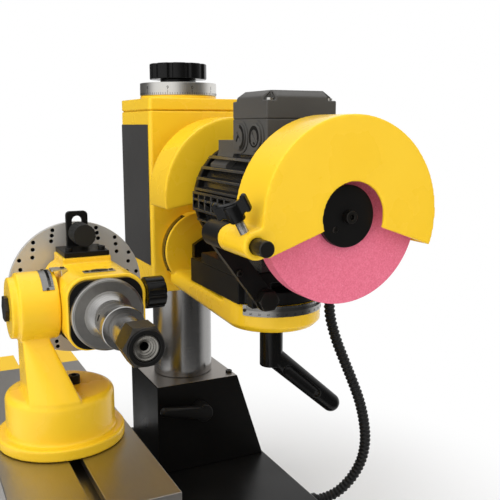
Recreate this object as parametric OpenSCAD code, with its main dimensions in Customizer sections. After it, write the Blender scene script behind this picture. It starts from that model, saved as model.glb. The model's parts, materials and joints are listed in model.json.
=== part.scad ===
// Bench tool and cutter grinder, in millimetres.
// The operator stands at -Y, the front grinding wheel faces +X, and the floor is Z = 0.
// The origin is the middle of the base's foot.

/* [Base] */
// Length of the base foot along X
base_w = 510; // [480:5:600]
// Depth of the base foot along Y
base_d = 500; // [490:5:600]
// Height of the base casting
base_h = 95; // [85:1:110]
// How far the foot stands out round the base body
foot_out = 25; // [20:1:30]
// Thickness of the foot
foot_h = 16; // [10:1:24]
// Wall of the base casting
base_wall = 12; // [8:1:16]
// Diameter of the four holding-down holes
bolt_hole_d = 11; // [8:0.5:14]
// Thickness of the bottom plate
plate_t = 6; // [4:1:10]

/* [Column] */
// Post centre along X
post_x = -107; // [-112:1:-102]
// Post centre along Y
post_y = 112.5; // [108:0.5:116]
// Diameter of the post
post_d = 90; // [80:1:96]
// Room between the post's top and the sleeve's cap
post_room = 86; // [83:1:96]
// Diameter of the post's foot spigot
spigot_d = 60; // [50:1:70]
// Length of the post's foot spigot
spigot_l = 60; // [40:1:80]
// Bore down the post for the lift screw
post_bore_d = 56; // [44:1:60]
// Height of the pedestal's top
pedestal_top = 232; // [215:1:245]
// Pedestal size along X
pedestal_w = 132; // [120:1:140]
// Pedestal size along Y, at its top
pedestal_d = 129; // [120:1:134]
// How far the pedestal's back flares out at its foot
pedestal_flare = 44; // [20:1:46]
// Size of the square sleeve
sleeve_w = 136; // [126:1:138]
// Corner radius of the sleeve
sleeve_r = 5; // [2:1:12]
// Height of the sleeve from its underside to the cap
sleeve_h = 256; // [246:1:264]
// How far the sleeve's underside lies below the tilt axis
sleeve_drop = 61; // [57:1:66]
// Thickness of the sleeve's cap
cap_t = 17; // [12:1:22]

/* [Lift] */
// Diameter of the lift screw
lift_screw_d = 20; // [16:1:24]
// Diameter of the graduated dial
dial_d = 112; // [100:1:120]
// Height of the graduated dial
dial_h = 18; // [14:1:24]
// Diameter of the lift knob
lift_knob_d = 84; // [70:1:96]
// Height of the lift knob
lift_knob_h = 28; // [20:1:34]

/* [Head] */
// Height of the wheel axis at rest
wheel_z = 520; // [515:1:530]
// Motor axis along Y
head_y = 135; // [132:1:138]
// Middle of the motor along X
motor_x = 157.5; // [155:0.5:160]
// Radius over the motor's fins
motor_r = 74; // [70:1:75]
// Length of the finned motor body
motor_l = 159; // [150:1:165]
// Thickness of each end shield
shield_t = 18; // [16:1:20]
// Height of the motor axis above its feet
motor_h = 71; // [71:1:76]
// Thickness of the motor plate
motor_plate_t = 13; // [10:1:16]
// Length of the swivel block
block_l = 150; // [140:1:156]
// Width of the swivel block
block_w = 120; // [100:1:124]
// Height of the swivel block
block_h = 31.7; // [28:0.1:34]
// Diameter of the motor shaft
shaft_d = 20; // [18:1:22]

/* [Wheels and guards] */
// Diameter of the front grinding wheel
wheel_d = 184; // [170:1:186]
// Diameter of the smaller rear grinding wheel
rear_wheel_d = 100; // [80:1:120]
// Thickness of both grinding wheels
wheel_t = 20; // [16:1:24]
// From the motor's middle to a wheel's outer face
wheel_reach = 149.5; // [148:0.5:151]
// Diameter of the wheel flanges
flange_d = 64; // [56:1:68]
// Thickness of the wheel flanges
flange_t = 7; // [6:1:8]
// Radius of both guards
guard_r = 102; // [100:1:104]
// Depth of both guards
guard_depth = 64; // [60:1:66]
// Wall of the guards
guard_wall = 4; // [3:0.5:5]
// From the motor's middle to a guard's outer plate
guard_reach = 169.5; // [168:0.5:172]
// Radius of the guard's keyhole
keyhole_r = 36; // [35:0.5:40]
// Angle of the front guard's lower edges below level
guard_drop = 19.5; // [12:0.5:24]
// Angle of the rear guard's lower edges below level
rear_guard_drop = 9; // [6:0.5:14]
// Diameter of the guard rod
rod_d = 16; // [14:1:18]
// Radius of the guard's rod boss
boss_r = 14; // [13:0.5:15]

/* [Terminal box] */
// Side of the square terminal box
box_w = 88; // [80:1:92]
// Height of the terminal box
box_h = 41; // [36:1:46]
// Wall of the terminal box
box_wall = 4; // [3:0.5:6]
// Height of the lid's sides
lid_h = 24; // [16:1:26]
// Rise of the lid's top
lid_rise = 7; // [4:1:12]

/* [Knee arm] */
// Platform centre along X
platform_x = 150; // [148:1:152]
// Radius of the round platform
platform_r = 60; // [56:1:62]
// Thickness of the platform
platform_t = 34; // [30:1:38]
// Height of the tilt axis above the platform
tilt_rise = 32; // [30:1:34]
// Radius of the tilt flange
tilt_r = 55; // [50:1:58]
// Thickness of the tilt flange
tilt_t = 20.7; // [16:0.1:21]
// Diameter of the tilt stud
tilt_stud_d = 24; // [20:1:28]
// Diameter of the head stud
head_stud_d = 16; // [14:1:18]
// Reach of the head clamp lever
lever_l = 76; // [70:1:90]

/* [Table] */
// Table and workhead centre along Y
table_y = -121; // [-124:1:-118]
// Middle of the table along X
table_x = 40; // [35:1:45]
// Length of the table
table_l = 520; // [500:5:540]
// Width of the table
table_w = 158; // [150:1:164]
// Height of the table's top
table_top = 255; // [252:1:257]
// Thickness of the table
table_t = 40; // [36:1:42]
// Length of the saddle along X
saddle_l = 200; // [180:5:220]
// Width of the saddle along Y
saddle_w = 150; // [140:1:158]
// Height of the saddle without its dovetail
saddle_h = 54; // [50:1:58]
// Width of a dovetail at its root
dovetail_w = 70; // [60:1:80]
// Height of a dovetail
dovetail_h = 14; // [12:1:16]
// Undercut of a dovetail on each side
dovetail_cut = 8; // [5:1:10]
// Width of the table's tee slot
tee_w = 14; // [12:1:16]
// Width of the base way under the saddle
way_w = 120; // [110:1:124]
// Diameter of both feed screws
feed_screw_d = 14; // [12:1:16]
// Diameter of both handwheels
handwheel_d = 110; // [90:1:116]

/* [Workhead] */
// Workhead swivel centre along X
work_x = 115; // [112:1:118]
// Spindle axis along Y
spindle_y = -81; // [-84:1:-79]
// Height of the spindle axis
spindle_z = 413; // [411:1:418]
// Height of the workhead housing
housing_w = 81; // [78:1:83]
// Depth of the workhead housing along Y
housing_d = 86; // [83:1:88]
// Length of the workhead housing
housing_l = 128; // [124:1:130]
// Corner radius of the workhead housing
housing_r = 22; // [14:1:28]
// Radius of the trunnion
trunnion_r = 38.5; // [34:0.5:40]
// Length of the trunnion
trunnion_l = 50.7; // [46:0.1:56]
// Diameter of the tilt pin
tilt_pin_d = 24; // [20:1:28]
// Radius of the workhead's swivel base
swivel_r = 61; // [58:1:64]
// Height of the workhead's swivel base above the table
swivel_h = 60; // [56:1:62]
// Diameter of the spindle in its housing
spindle_d = 44; // [40:1:46]
// Diameter of the nose ring
nose_ring_d = 78; // [74:1:79]
// Length of the spindle nose in front of the ring
nose_l = 129; // [120:1:134]
// Across the flats of the collet nut
nut_af = 37; // [36:1:42]
// Bore of the collet
collet_d = 8; // [6:0.5:14]
// Radius of the index disc
disc_r = 82; // [80:0.5:83]
// Thickness of the index disc
disc_t = 6; // [5:0.5:7]
// Number of holes in the index disc's outer ring
disc_holes = 18; // [12:2:24]

/* [Conduit] */
// Outside diameter of the ribbed conduit
conduit_d = 15.8; // [14:0.1:17]
// Bore of the ribbed conduit
conduit_bore = 11; // [9:0.1:12]
// Spacing of the conduit's ribs
rib_pitch = 4.2; // [4:0.1:6]

/* [Hidden] */
$fn = 64;

// Clearances shared by the whole machine
// Overrun of every cut past the face that it starts from
over = 1;
// Flat gap between pieces that move past each other
turn_gap = 0.3;
// Radial clearance of a running shaft in its bore
run_gap = 0.05;
// Radial clearance of pieces that are pressed or bolted together
fit_gap = 0.02;

// Paint and metal colours
yellow = [0.95, 0.72, 0.05];
black = [0.08, 0.08, 0.08];
dark = [0.2, 0.2, 0.21];
steel = [0.7, 0.7, 0.7];
bronze = [0.7, 0.5, 0.25];
pink = [0.87, 0.4, 0.52];

// Base, pedestal and post
body_w = base_w - 2 * foot_out;
body_d = base_d - 2 * foot_out;
body_r = 20;
foot_r = 30;
cavity_w = body_w - 2 * base_wall;
cavity_d = body_d - 2 * base_wall;
bolt_inset = 50;
bolt_x = base_w / 2 - bolt_inset;
bolt_y = (base_d - foot_out) / 2;
pedestal_x0 = post_x - pedestal_w / 2;
pedestal_x1 = post_x + pedestal_w / 2;
pedestal_y1 = post_y + pedestal_d / 2;
pedestal_y0 = post_y - pedestal_d / 2;
post_z0 = pedestal_top + turn_gap;
post_floor = post_z0 + post_d / 3;
lever_bolt_r = 6;
column_lever_drop = 42;
column_lever_z = pedestal_top - column_lever_drop;
column_hub_r = 13;
column_hub_l = 24;
column_lever_l = 62;
column_root_r = 9;
column_grip_r = 7;

// Sleeve, cap and lift
platform_top = wheel_z - motor_h - motor_plate_t - block_h - turn_gap;
platform_z0 = platform_top - platform_t;
tilt_z = platform_top + tilt_rise;
sleeve_z0 = tilt_z - sleeve_drop;
cap_z0 = sleeve_z0 + sleeve_h;
cap_z1 = cap_z0 + cap_t;
post_top = cap_z0 - post_room;
cap_groove = 1.5;
cap_boss_h = 5;
sleeve_x1 = post_x + sleeve_w / 2;
dial_z0 = cap_z1 + cap_boss_h + turn_gap;
dial_z1 = dial_z0 + dial_h;
nut_flange_t = 6;
nut_flange_out = 8;
nut_l = 40;
collar_h = 8;
collar_out = 7;
screw_below_nut = 110;
knob_neck_r = 26;
knob_neck_h = 6;
scallop_count = 10;
scallop_share = 0.13;

// Knee arm and lever
arm_x0 = sleeve_x1 + turn_gap;
arm_x1 = arm_x0 + tilt_t;
neck_r = 12;
neck_rise = 4;
neck_drop = tilt_r - neck_r - neck_rise;
neck_spread = 34;
neck_top_gap = 6;
platform_edge = 7;
scale_t = 1.2;
scale_w = 13;
scale_from = -61;
scale_sweep = 140;
tilt_scale_w = 9;
tilt_scale_from = 118;
tilt_scale_sweep = 92;
stud_head_r = 19;
stud_head_t = 9;
stud_depth = 18;
lever_hub_r = 14.5;
lever_hub_l = 56;
lever_turn = 65.7;
lever_fall = 107;
lever_tip_r = 11.5;
lever_root_r = 13;
lever_slot_share = 0.7;
lever_slot_from_share = 0.3;
lever_slot_to_share = 0.72;
lever_slot_out = 14.5;
head_stud_top = 20;

// Motor
motor_x0 = motor_x - motor_l / 2;
motor_x1 = motor_x + motor_l / 2;
fin_h = 12;
frame_wall = 8;
core_r = motor_r - fin_h;
stator_r = core_r - frame_wall;
rotor_r = 31.5;
air_gap = 0.5;
fin_t = 3.2;
fin_pitch = 13;
fin_rows = 4;
foot_z = wheel_z - motor_h;
foot_w = 100;
foot_l = 126;
pad_l = 135;
pad_h = 24;
pad_in = 14;
pad_out = 13;
pad_deep = 20;
pad_drop = 2;
pad_z = wheel_z - pad_drop;
pad_ribs = 7;
box_x = 177;
box_pad_out = 5;
box_pad_back = 28;
box_rise = 57;
box_z0 = wheel_z + box_rise;
box_z1 = box_z0 + box_h;
lid_z1 = box_z1 + lid_h;
lid_notch = 11;
lid_notch_h = 4;
lid_top_share = 0.76;
bearing_r = 20;
bearing_w = 12;
shield_step = 4;
shield_r = motor_r - shield_step;
shield_clear = 1.5;
shield_hole_r = shaft_d / 2 + shield_clear;
core_l = 115;
block_back = 120;
block_x0 = platform_x - block_back;
block_clear = 1;
block_disc_t = 16;
block_disc_in = 1;
block_sweep = norm([block_back, block_w / 2]) + block_clear;
plate_back = 10;
plate_x0 = motor_x0 - plate_back;
plate_x1 = 222;
lug_t = 14;
lug_w = 24;
plug_r = 15;
plug_t = 4;
plug_gap = 40;
plug_slot_w = 3;
entry_r = 10;

// Wheels and guards
wheel_bore_r = 16;
guard_x1 = motor_x + guard_reach;
guard_x0 = guard_x1 - guard_depth;
guard_inner_r = guard_r - guard_wall;
wheel_x1 = motor_x + wheel_reach;
wheel_x0 = wheel_x1 - wheel_t;
shaft_out = 3;
shaft_end = wheel_reach + shaft_out;
screw_r = 4;
screw_head_r = 6.5;
screw_head_t = 9;
screw_l = 24;
socket_r = 3.2;
socket_deep = 5;
flange_pin_r = 3;
flange_pin_y = -14;
flange_pin_z = -13;
boss_side = 108;
boss_drop = 21;
boss_y = head_y - boss_side;
boss_z = wheel_z - boss_drop;
boss_web_in = 16;
boss_web_up = 5;
rod_front = 20;
collar_x0 = plate_x1;
collar_x1 = guard_x0 - turn_gap;
bar_t = 10;
bar_w = 22;
pivot_side = 50;
pivot_drop = 99;
pivot_y = head_y - pivot_side;
pivot_z = wheel_z - pivot_drop;
pivot_r = 12;
pivot_bolt_r = 6;
pivot_head_r = 12.5;
pivot_head_t = 10;
spacer_r = 45;
wing_back = 16;
wing_x = guard_x1 - wing_back;
wing_turn = 27.8;
wing_stem_r = 4;
wing_hub_r = 8;
wing_hub_l = 18;
wing_hub_at = 26;
wing_reach = 15;
wing_tip_r = 3;
wing_t = 7;
wing_face = 45;
wing_lift = 12;

// Table, saddle and feeds
table_x0 = table_x - table_l / 2;
table_x1 = table_x + table_l / 2;
table_z0 = table_top - table_t;
saddle_z1 = table_z0 - turn_gap;
saddle_z0 = saddle_z1 - saddle_h;
way_z1 = saddle_z0 - turn_gap;
way_inset = 10;
way_l = 195;
way_y0 = way_inset - body_d / 2;
way_y1 = way_y0 + way_l;
cross_side = 20;
cross_drop = 21;
cross_x = work_x + way_w / 2 + cross_side;
cross_z = way_z1 - cross_drop;
cross_room = 29;
cross_face = min(-body_d / 2, table_y - saddle_w / 2 - cross_room);
bracket_w = 30;
bracket_t = 12;
bracket_back = 5;
bracket_y1 = way_y1 - bracket_back;
lug_off = 11;
lug_y = table_y + lug_off;
nut_lug_w = 24;
nut_lug_t = 20;
feed_r = feed_screw_d / 2;
feed_bore = feed_r + run_gap;
table_screw_drop = 20;
table_screw_z = saddle_z1 - table_screw_drop;
tee_neck = 9;
tee_foot_out = 5;
tee_foot_h = 8;
end_lug_t = 12;
end_lug_w = 34;
end_lug_drop = 36;
wheel_rim_r = 7;
wheel_hub_r = 14;
wheel_hub_l = 22;
wheel_web_t = 6;
wheel_web_holes = 3;
wheel_web_hole_r = 13;
grip_r = 7;
grip_l = 42;
grip_pin_r = 4;

// Workhead
housing_side = 41;
housing_y0 = spindle_y - housing_side;
housing_y1 = housing_y0 + housing_d;
housing_x1 = 178;
housing_x0 = housing_x1 - housing_l;
housing_z1 = spindle_z + housing_w / 2;
trunnion_y1 = housing_y0 - turn_gap;
trunnion_y0 = trunnion_y1 - trunnion_l;
trunnion_end = 12;
trunnion_step_l = 8;
trunnion_step_in = 4.5;
pin_l = trunnion_l - trunnion_end;
swivel_flange_out = 11;
swivel_flange_h = 13;
swivel_round = 8;
swivel_z0 = table_top + turn_gap;
swivel_z1 = swivel_z0 + swivel_h;
leg_w = 38;
leg_d = 40;
leg_top_d = 26;
leg_drop = 29;
leg_lean = 13;
leg_foot_r = 60;
leg_t = 2;
top_pad_l = 54;
pad_x1 = housing_x0 + top_pad_l;
pad_w = 56;
pad_rise = 8;
front_plate_t = 6;
front_plate_in = 2;
nose_ring_t = 8;
nose_ring_edge = 1.5;
nose_x0 = housing_x1 + front_plate_t + nose_ring_t;
nose_x1 = nose_x0 + nose_l;
cone_r = 26;
cone_l = 14;
neck1_r = 19;
neck1_l = 34;
collar_r = 22.5;
collar_l = 10;
neck2_r = 16;
nut_l2 = 31;
nut_lip = 3;
nut_ring_r = 17;
collet_face_r = 13;
collet_tail_r = 10.4;
collet_tail_l = 30;
collet_head_l = 17;
disc_off = 8;
disc_x1 = housing_x0 - disc_off;
disc_x0 = disc_x1 - disc_t;
disc_seat_r = 16;
disc_flange_r = 30;
disc_nut_t = 5;
hole_r = 2.4;
hole_edge = 4.5;
hole_ring = disc_r - hole_edge;
hole_step = 5.75;
hole_rings = 3;
fewer_holes = 2;
disc_web = 1;
bracket_foot_h = 6;
bracket_foot_l = 52;
bracket_foot_w = 52;
upright_t = 6;
upright_w = 26;
upright_h = 42;
upright_r = 5;
slot_travel = 9;
slot_rise = 13;
barrel_r = 6;
pin_r = 2.2;
plunger_z = spindle_z + hole_ring - hole_step;
bracket_in = 2;
plunger_x0 = housing_x0 + bracket_in;
plunger_knob_r = 13;
plunger_knob_l = 30;
plunger_clear = 8;
plunger_turns = 18;
knob_x = 162;
knob_rise = 13;
knob_z = spindle_z + knob_rise;
knob_r = 18;
knob_h = 22;
knob_lobes = 7;
knob_stem_r = 5;
knob_stem_l = 19;
knob_boss_r = 10;
knob_boss_h = 3;
zero_w = 34;
zero_l = 11;
zero_t = 1.2;
zero_x = 150;
tilt_nut_r = 15;
tilt_nut_t = 5;

// Conduit route, from the terminal box to the base, with its ends square to the two glands
box_gland_in = 22;
box_gland_rise = 20;
box_gland_x = box_x - box_w / 2 + box_gland_in;
box_gland_z = box_z0 + box_gland_rise;
box_gland_y = head_y + box_w / 2;
base_gland_x = 85;
base_gland_z = 70;
base_gland_y = body_d / 2;
gland_hex_r = 14;
gland_hex_t = 9;
gland_cap_r = 11;
gland_cap_t = 10;
gland_nipple_r = 9;
conduit_sides = 8;
ROUTE = [[155, 198.3, 597], [155, 214, 597], [153, 236, 594], [147, 256, 585], [138, 272, 570],
  [127, 282, 551], [115, 285, 528], [105, 284, 502], [97, 279, 474], [91, 272, 444], [87, 265, 412],
  [85, 261, 380], [86, 262, 348], [90, 269, 316], [95, 280, 284], [100, 292, 252], [104, 303, 220],
  [105, 311, 188], [104, 315, 158], [101, 313, 130], [96, 305, 106], [91, 292, 87], [87, 277, 75],
  [85, 260, 70], [85, 244.3, 70]];

// Solids along the axes
module along_x(x0, x1) translate([x0, 0, 0]) rotate([90, 0, 90]) linear_extrude(x1 - x0) children();
module along_y(y0, y1) translate([0, y1, 0]) rotate([90, 0, 0]) linear_extrude(y1 - y0) children();
module along_z(z0, z1) translate([0, 0, z0]) linear_extrude(z1 - z0) children();
module rod_x(x0, x1, r, y, z) translate([x0, y, z]) rotate([0, 90, 0]) cylinder(h = x1 - x0, r = r);
module rod_y(y0, y1, r, x, z) translate([x, y1, z]) rotate([90, 0, 0]) cylinder(h = y1 - y0, r = r);
module rod_z(z0, z1, r, x, y) translate([x, y, z0]) cylinder(h = z1 - z0, r = r);
module hex_x(x0, x1, r, y, z) translate([x0, y, z]) rotate([0, 90, 0]) cylinder(h = x1 - x0, r = r, $fn = 6);
module hex_y(y0, y1, r, x, z) translate([x, y1, z]) rotate([90, 0, 0]) cylinder(h = y1 - y0, r = r, $fn = 6);
module slab(x0, x1, y0, y1, z0, z1) translate([x0, y0, z0]) cube([x1 - x0, y1 - y0, z1 - z0]);

// A rectangle about the origin with true round corners
module rounded_rect(w, d, r) {
  square([w - 2 * r, d], center = true);
  square([w, d - 2 * r], center = true);
  for (x = [-1, 1], y = [-1, 1])
    translate([x * (w / 2 - r), y * (d / 2 - r)]) circle(r);
}

// A male dovetail, with its root at height zero
module dovetail(grow) {
  half = dovetail_w / 2 + grow;
  polygon([[-half, 0], [half, 0], [half + dovetail_cut, dovetail_h + grow],
    [-half - dovetail_cut, dovetail_h + grow]]);
}

// A round knob outline with finger scallops
module scalloped(r, count, share) difference() {
  circle(r);
  for (i = [0 : count - 1])
    rotate(i * 360 / count) translate([r * (1 + share / 2), 0]) circle(r * share);
}

// A handwheel about the Z axis, with its hub's inner face at height zero
module handwheel() {
  ring_r = handwheel_d / 2 - wheel_rim_r;
  difference() {
    union() {
      cylinder(h = wheel_hub_l, r = wheel_hub_r);
      translate([0, 0, wheel_hub_l - wheel_rim_r - wheel_web_t / 2]) cylinder(h = wheel_web_t, r = ring_r);
    }
    translate([0, 0, -over]) cylinder(h = wheel_hub_l + 2 * over, r = feed_r + fit_gap);
    for (i = [0 : wheel_web_holes - 1])
      rotate(i * 360 / wheel_web_holes) translate([(ring_r + wheel_hub_r) / 2, 0, -over])
        cylinder(h = wheel_hub_l + 2 * over, r = wheel_web_hole_r);
  }
  translate([0, 0, wheel_hub_l - wheel_rim_r])
    rotate_extrude() translate([ring_r, 0]) circle(wheel_rim_r);
  rotate(180 / wheel_web_holes) translate([ring_r, 0, wheel_hub_l - wheel_rim_r]) {
    cylinder(h = wheel_rim_r + grip_l, r = grip_pin_r);
    translate([0, 0, wheel_rim_r + grip_pin_r]) cylinder(h = grip_l, r = grip_r);
  }
}

// A cable gland along Y, standing on a wall, with its nipple through the wall
module gland(x, y, z, wall) difference() {
  union() {
    rod_y(y - wall - gland_cap_t / 2, y + over, gland_nipple_r, x, z);
    hex_y(y, y + gland_hex_t, gland_hex_r, x, z);
    rod_y(y + gland_hex_t, y + gland_hex_t + gland_cap_t, gland_cap_r, x, z);
  }
  rod_y(y - wall - gland_cap_t, y + gland_hex_t + gland_cap_t + over, conduit_bore / 2, x, z);
}

// The open lower sector of a guard, as seen along X
module guard_gap(drop) {
  far = 2 * guard_r;
  polygon([[0, 0], [far * cos(drop), -far * sin(drop)], [far, -far], [-far, -far],
    [-far * cos(drop), -far * sin(drop)]]);
}
module guard_plate(drop) difference() {
  circle(guard_r);
  circle(keyhole_r);
  guard_gap(drop);
}
module guard_rim(drop) difference() {
  circle(guard_r);
  circle(guard_inner_r);
  guard_gap(drop);
}

// A guard on the motor's axis, from its motor-side plate to its outer plate
module guard_drum(x0, x1, drop) {
  along_x(x0, x1) translate([head_y, wheel_z]) guard_rim(drop);
  along_x(x0, x0 + guard_wall) translate([head_y, wheel_z]) guard_plate(drop);
  along_x(x1 - guard_wall, x1) translate([head_y, wheel_z]) guard_plate(drop);
}

// Base
module base() color(black) difference() {
  union() {
    along_z(0, foot_h) rounded_rect(base_w, base_d, foot_r);
    along_z(foot_h, base_h) rounded_rect(body_w, body_d, body_r);
    along_y(way_y0, way_y1) translate([work_x, 0]) {
      translate([-way_w / 2, base_h - over]) square([way_w, way_z1 - base_h + over]);
      translate([0, way_z1]) dovetail(0);
    }
    for (y = [-body_d / 2, bracket_y1 - bracket_t])
      slab(cross_x - bracket_w / 2, cross_x + bracket_w / 2, y, y + bracket_t, base_h - over,
        cross_z + bracket_w / 2);
  }
  along_z(-over, base_h - base_wall) rounded_rect(cavity_w, cavity_d, body_r);
  for (x = [-1, 1], y = [-1, 1])
    rod_z(-over, foot_h + over, bolt_hole_d / 2, x * bolt_x, y * bolt_y);
  rod_y(-base_d / 2, way_y1, feed_bore, cross_x, cross_z);
  rod_y(base_gland_y - 2 * base_wall, base_gland_y + over, gland_nipple_r + fit_gap, base_gland_x,
    base_gland_z);
}

module base_plate() color(dark) along_z(0, plate_t)
  rounded_rect(cavity_w - 2 * fit_gap, cavity_d - 2 * fit_gap, body_r - fit_gap);

module pedestal() color(black) difference() {
  along_x(pedestal_x0, pedestal_x1)
    polygon([[pedestal_y0, base_h], [pedestal_y1 + pedestal_flare, base_h], [pedestal_y1, pedestal_top],
      [pedestal_y0, pedestal_top]]);
  rod_z(pedestal_top - spigot_l - turn_gap, pedestal_top + over, spigot_d / 2 + run_gap, post_x, post_y);
  rod_x(post_x, pedestal_x1 + over, lever_bolt_r + run_gap, post_y, column_lever_z);
}

module base_gland() color(black) gland(base_gland_x, base_gland_y, base_gland_z, base_wall);

// A smooth curve through the route's points, its direction there, and a ring round it
function span_point(p, q, r, s, t) = 0.5 * (2 * q + (r - p) * t + (2 * p - 5 * q + 4 * r - s) * t * t
  + (3 * q - p - 3 * r + s) * t * t * t);
last = len(ROUTE) - 1;
function route_at(u) = let (
    i = min(floor(u), last - 1),
    p = ROUTE[max(i - 1, 0)],
    s = ROUTE[min(i + 2, last)])
  span_point(p, ROUTE[i], ROUTE[i + 1], s, u - i);
nudge = 0.02;
function route_way(u) = let (d = route_at(min(u + nudge, last)) - route_at(max(u - nudge, 0))) d / norm(d);
function route_ring(u, r) = let (
    at = route_at(u),
    way = route_way(u),
    side = cross(way, [1, 0, 0]) / norm(cross(way, [1, 0, 0])),
    up = cross(side, way))
  [for (k = [0 : conduit_sides - 1])
    at + r * (cos(k * 360 / conduit_sides) * side + sin(k * 360 / conduit_sides) * up)];

// The conduit's steps along the route: ribs outside, a plain bore inside
route_steps = 300;
route_lengths = [for (i = [0 : route_steps - 1])
  norm(route_at((i + 1) * last / route_steps) - route_at(i * last / route_steps))];
function sum(list, n) = n <= 0 ? 0 : list[n - 1] + sum(list, n - 1);
route_length = sum(route_lengths, route_steps);
rib_count = floor(route_length / rib_pitch);
rib_deep = 1.4;
outer_rings = [for (i = [0 : 2 * rib_count])
  route_ring(i * last / (2 * rib_count), conduit_d / 2 - (i % 2 == 0 ? rib_deep : 0))];
inner_count = floor(rib_count / 2);
inner_rings = [for (i = [0 : inner_count]) route_ring(i * last / inner_count, conduit_bore / 2)];
conduit_points = [for (ring = outer_rings) each ring, for (ring = inner_rings) each ring];
inner_start = conduit_sides * len(outer_rings);
function quad(a, b, c, d) = [[a, b, c], [a, c, d]];
function wrap(k) = (k + 1) % conduit_sides;
conduit_faces = [
  for (i = [0 : len(outer_rings) - 2], k = [0 : conduit_sides - 1])
    each quad(i * conduit_sides + k, (i + 1) * conduit_sides + k, (i + 1) * conduit_sides + wrap(k),
      i * conduit_sides + wrap(k)),
  for (i = [0 : len(inner_rings) - 2], k = [0 : conduit_sides - 1])
    each quad(inner_start + i * conduit_sides + wrap(k), inner_start + (i + 1) * conduit_sides + wrap(k),
      inner_start + (i + 1) * conduit_sides + k, inner_start + i * conduit_sides + k),
  for (k = [0 : conduit_sides - 1])
    each quad(k, wrap(k), inner_start + wrap(k), inner_start + k),
  for (k = [0 : conduit_sides - 1])
    each quad((len(outer_rings) - 1) * conduit_sides + wrap(k), (len(outer_rings) - 1) * conduit_sides + k,
      inner_start + inner_count * conduit_sides + k, inner_start + inner_count * conduit_sides + wrap(k))];
module conduit() color(black) polyhedron(conduit_points, conduit_faces);

// The clamp lever on the pedestal: its screw, hub and grip
module column_lever() color(black) {
  x0 = pedestal_x1 + turn_gap;
  rod_x(post_x + spigot_d / 2 + 2 * turn_gap, x0 + over, lever_bolt_r, post_y, column_lever_z);
  rod_x(x0, x0 + column_hub_l, column_hub_r, post_y, column_lever_z);
  hull() {
    rod_x(x0 + column_hub_l / 2, x0 + column_hub_l, column_root_r, post_y, column_lever_z, $fn = 32);
    translate([x0 + column_hub_l, post_y - column_lever_l, column_lever_z + column_hub_r])
      sphere(column_grip_r, $fn = 32);
  }
}

// Column
module post() color(steel) difference() {
  union() {
    rod_z(post_z0, post_top, post_d / 2, post_x, post_y);
    rod_z(pedestal_top - spigot_l, post_z0 + over, spigot_d / 2, post_x, post_y);
  }
  rod_z(post_floor, post_top + over, post_bore_d / 2, post_x, post_y);
}

module lift_nut() color(bronze) difference() {
  union() {
    rod_z(post_top - nut_l, post_top, post_bore_d / 2 - fit_gap, post_x, post_y);
    rod_z(post_top, post_top + nut_flange_t, post_bore_d / 2 + nut_flange_out, post_x, post_y);
  }
  rod_z(post_top - nut_l - over, post_top + nut_flange_t + over, lift_screw_d / 2 + run_gap, post_x, post_y);
}

module sleeve() color(yellow) difference() {
  along_z(sleeve_z0, cap_z0) translate([post_x, post_y]) difference() {
    rounded_rect(sleeve_w, sleeve_w, sleeve_r);
    circle(post_d / 2 + run_gap);
  }
  rod_x(sleeve_x1 - stud_depth - turn_gap, sleeve_x1 + over, tilt_stud_d / 2 + run_gap, post_y, tilt_z);
}

module sleeve_cap() color(yellow) difference() {
  union() {
    along_z(cap_z0, cap_z0 + cap_groove) translate([post_x, post_y])
      rounded_rect(sleeve_w - 2 * cap_groove, sleeve_w - 2 * cap_groove, sleeve_r);
    along_z(cap_z0 + cap_groove, cap_z1) translate([post_x, post_y])
      rounded_rect(sleeve_w, sleeve_w, sleeve_r);
    rod_z(cap_z1 - over, cap_z1 + cap_boss_h, dial_d / 2, post_x, post_y);
  }
  rod_z(cap_z0 - over, cap_z1 + cap_boss_h + over, lift_screw_d / 2 + run_gap, post_x, post_y);
}

module lift_screw() color(steel) {
  rod_z(post_top - screw_below_nut - nut_l, dial_z1 + lift_knob_h / 2, lift_screw_d / 2, post_x, post_y);
  rod_z(cap_z0 - turn_gap - collar_h, cap_z0 - turn_gap, lift_screw_d / 2 + collar_out, post_x, post_y);
}

module lift_dial() color(steel) difference() {
  rod_z(dial_z0, dial_z1, dial_d / 2, post_x, post_y);
  rod_z(dial_z0 - over, dial_z1 + over, lift_screw_d / 2 + fit_gap, post_x, post_y);
}

module lift_knob() color(black) difference() {
  union() {
    rod_z(dial_z1, dial_z1 + knob_neck_h + over, knob_neck_r, post_x, post_y);
    along_z(dial_z1 + knob_neck_h, dial_z1 + lift_knob_h) translate([post_x, post_y])
      scalloped(lift_knob_d / 2, scallop_count, scallop_share);
  }
  rod_z(dial_z1 - over, dial_z1 + lift_knob_h / 2 + fit_gap, lift_screw_d / 2 + fit_gap, post_x, post_y);
}

// Knee arm: tilt flange, neck and round platform
module knee_arm() color(yellow) difference() {
  union() {
    rod_x(arm_x0, arm_x1, tilt_r, post_y, tilt_z);
    hull() {
      for (side = [-1, 1])
        rod_x(arm_x1 - neck_r, arm_x1, neck_r, post_y + side * neck_spread, tilt_z - neck_drop, $fn = 32);
      rod_z(platform_z0 + platform_edge, platform_top - neck_top_gap, platform_r, platform_x, head_y,
        $fn = 48);
      rod_z(platform_z0, platform_top - neck_top_gap, platform_r - platform_edge, platform_x, head_y,
        $fn = 48);
    }
    rod_z(platform_z0 + platform_edge, platform_top, platform_r, platform_x, head_y);
  }
  rod_z(platform_z0 - over, platform_top + over, head_stud_d / 2 + run_gap, platform_x, head_y);
  rod_x(arm_x0 - over, arm_x1 + over, tilt_stud_d / 2 + fit_gap, post_y, tilt_z);
  rod_z(platform_top, tilt_z + tilt_r, block_sweep, platform_x, head_y);
}

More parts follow.
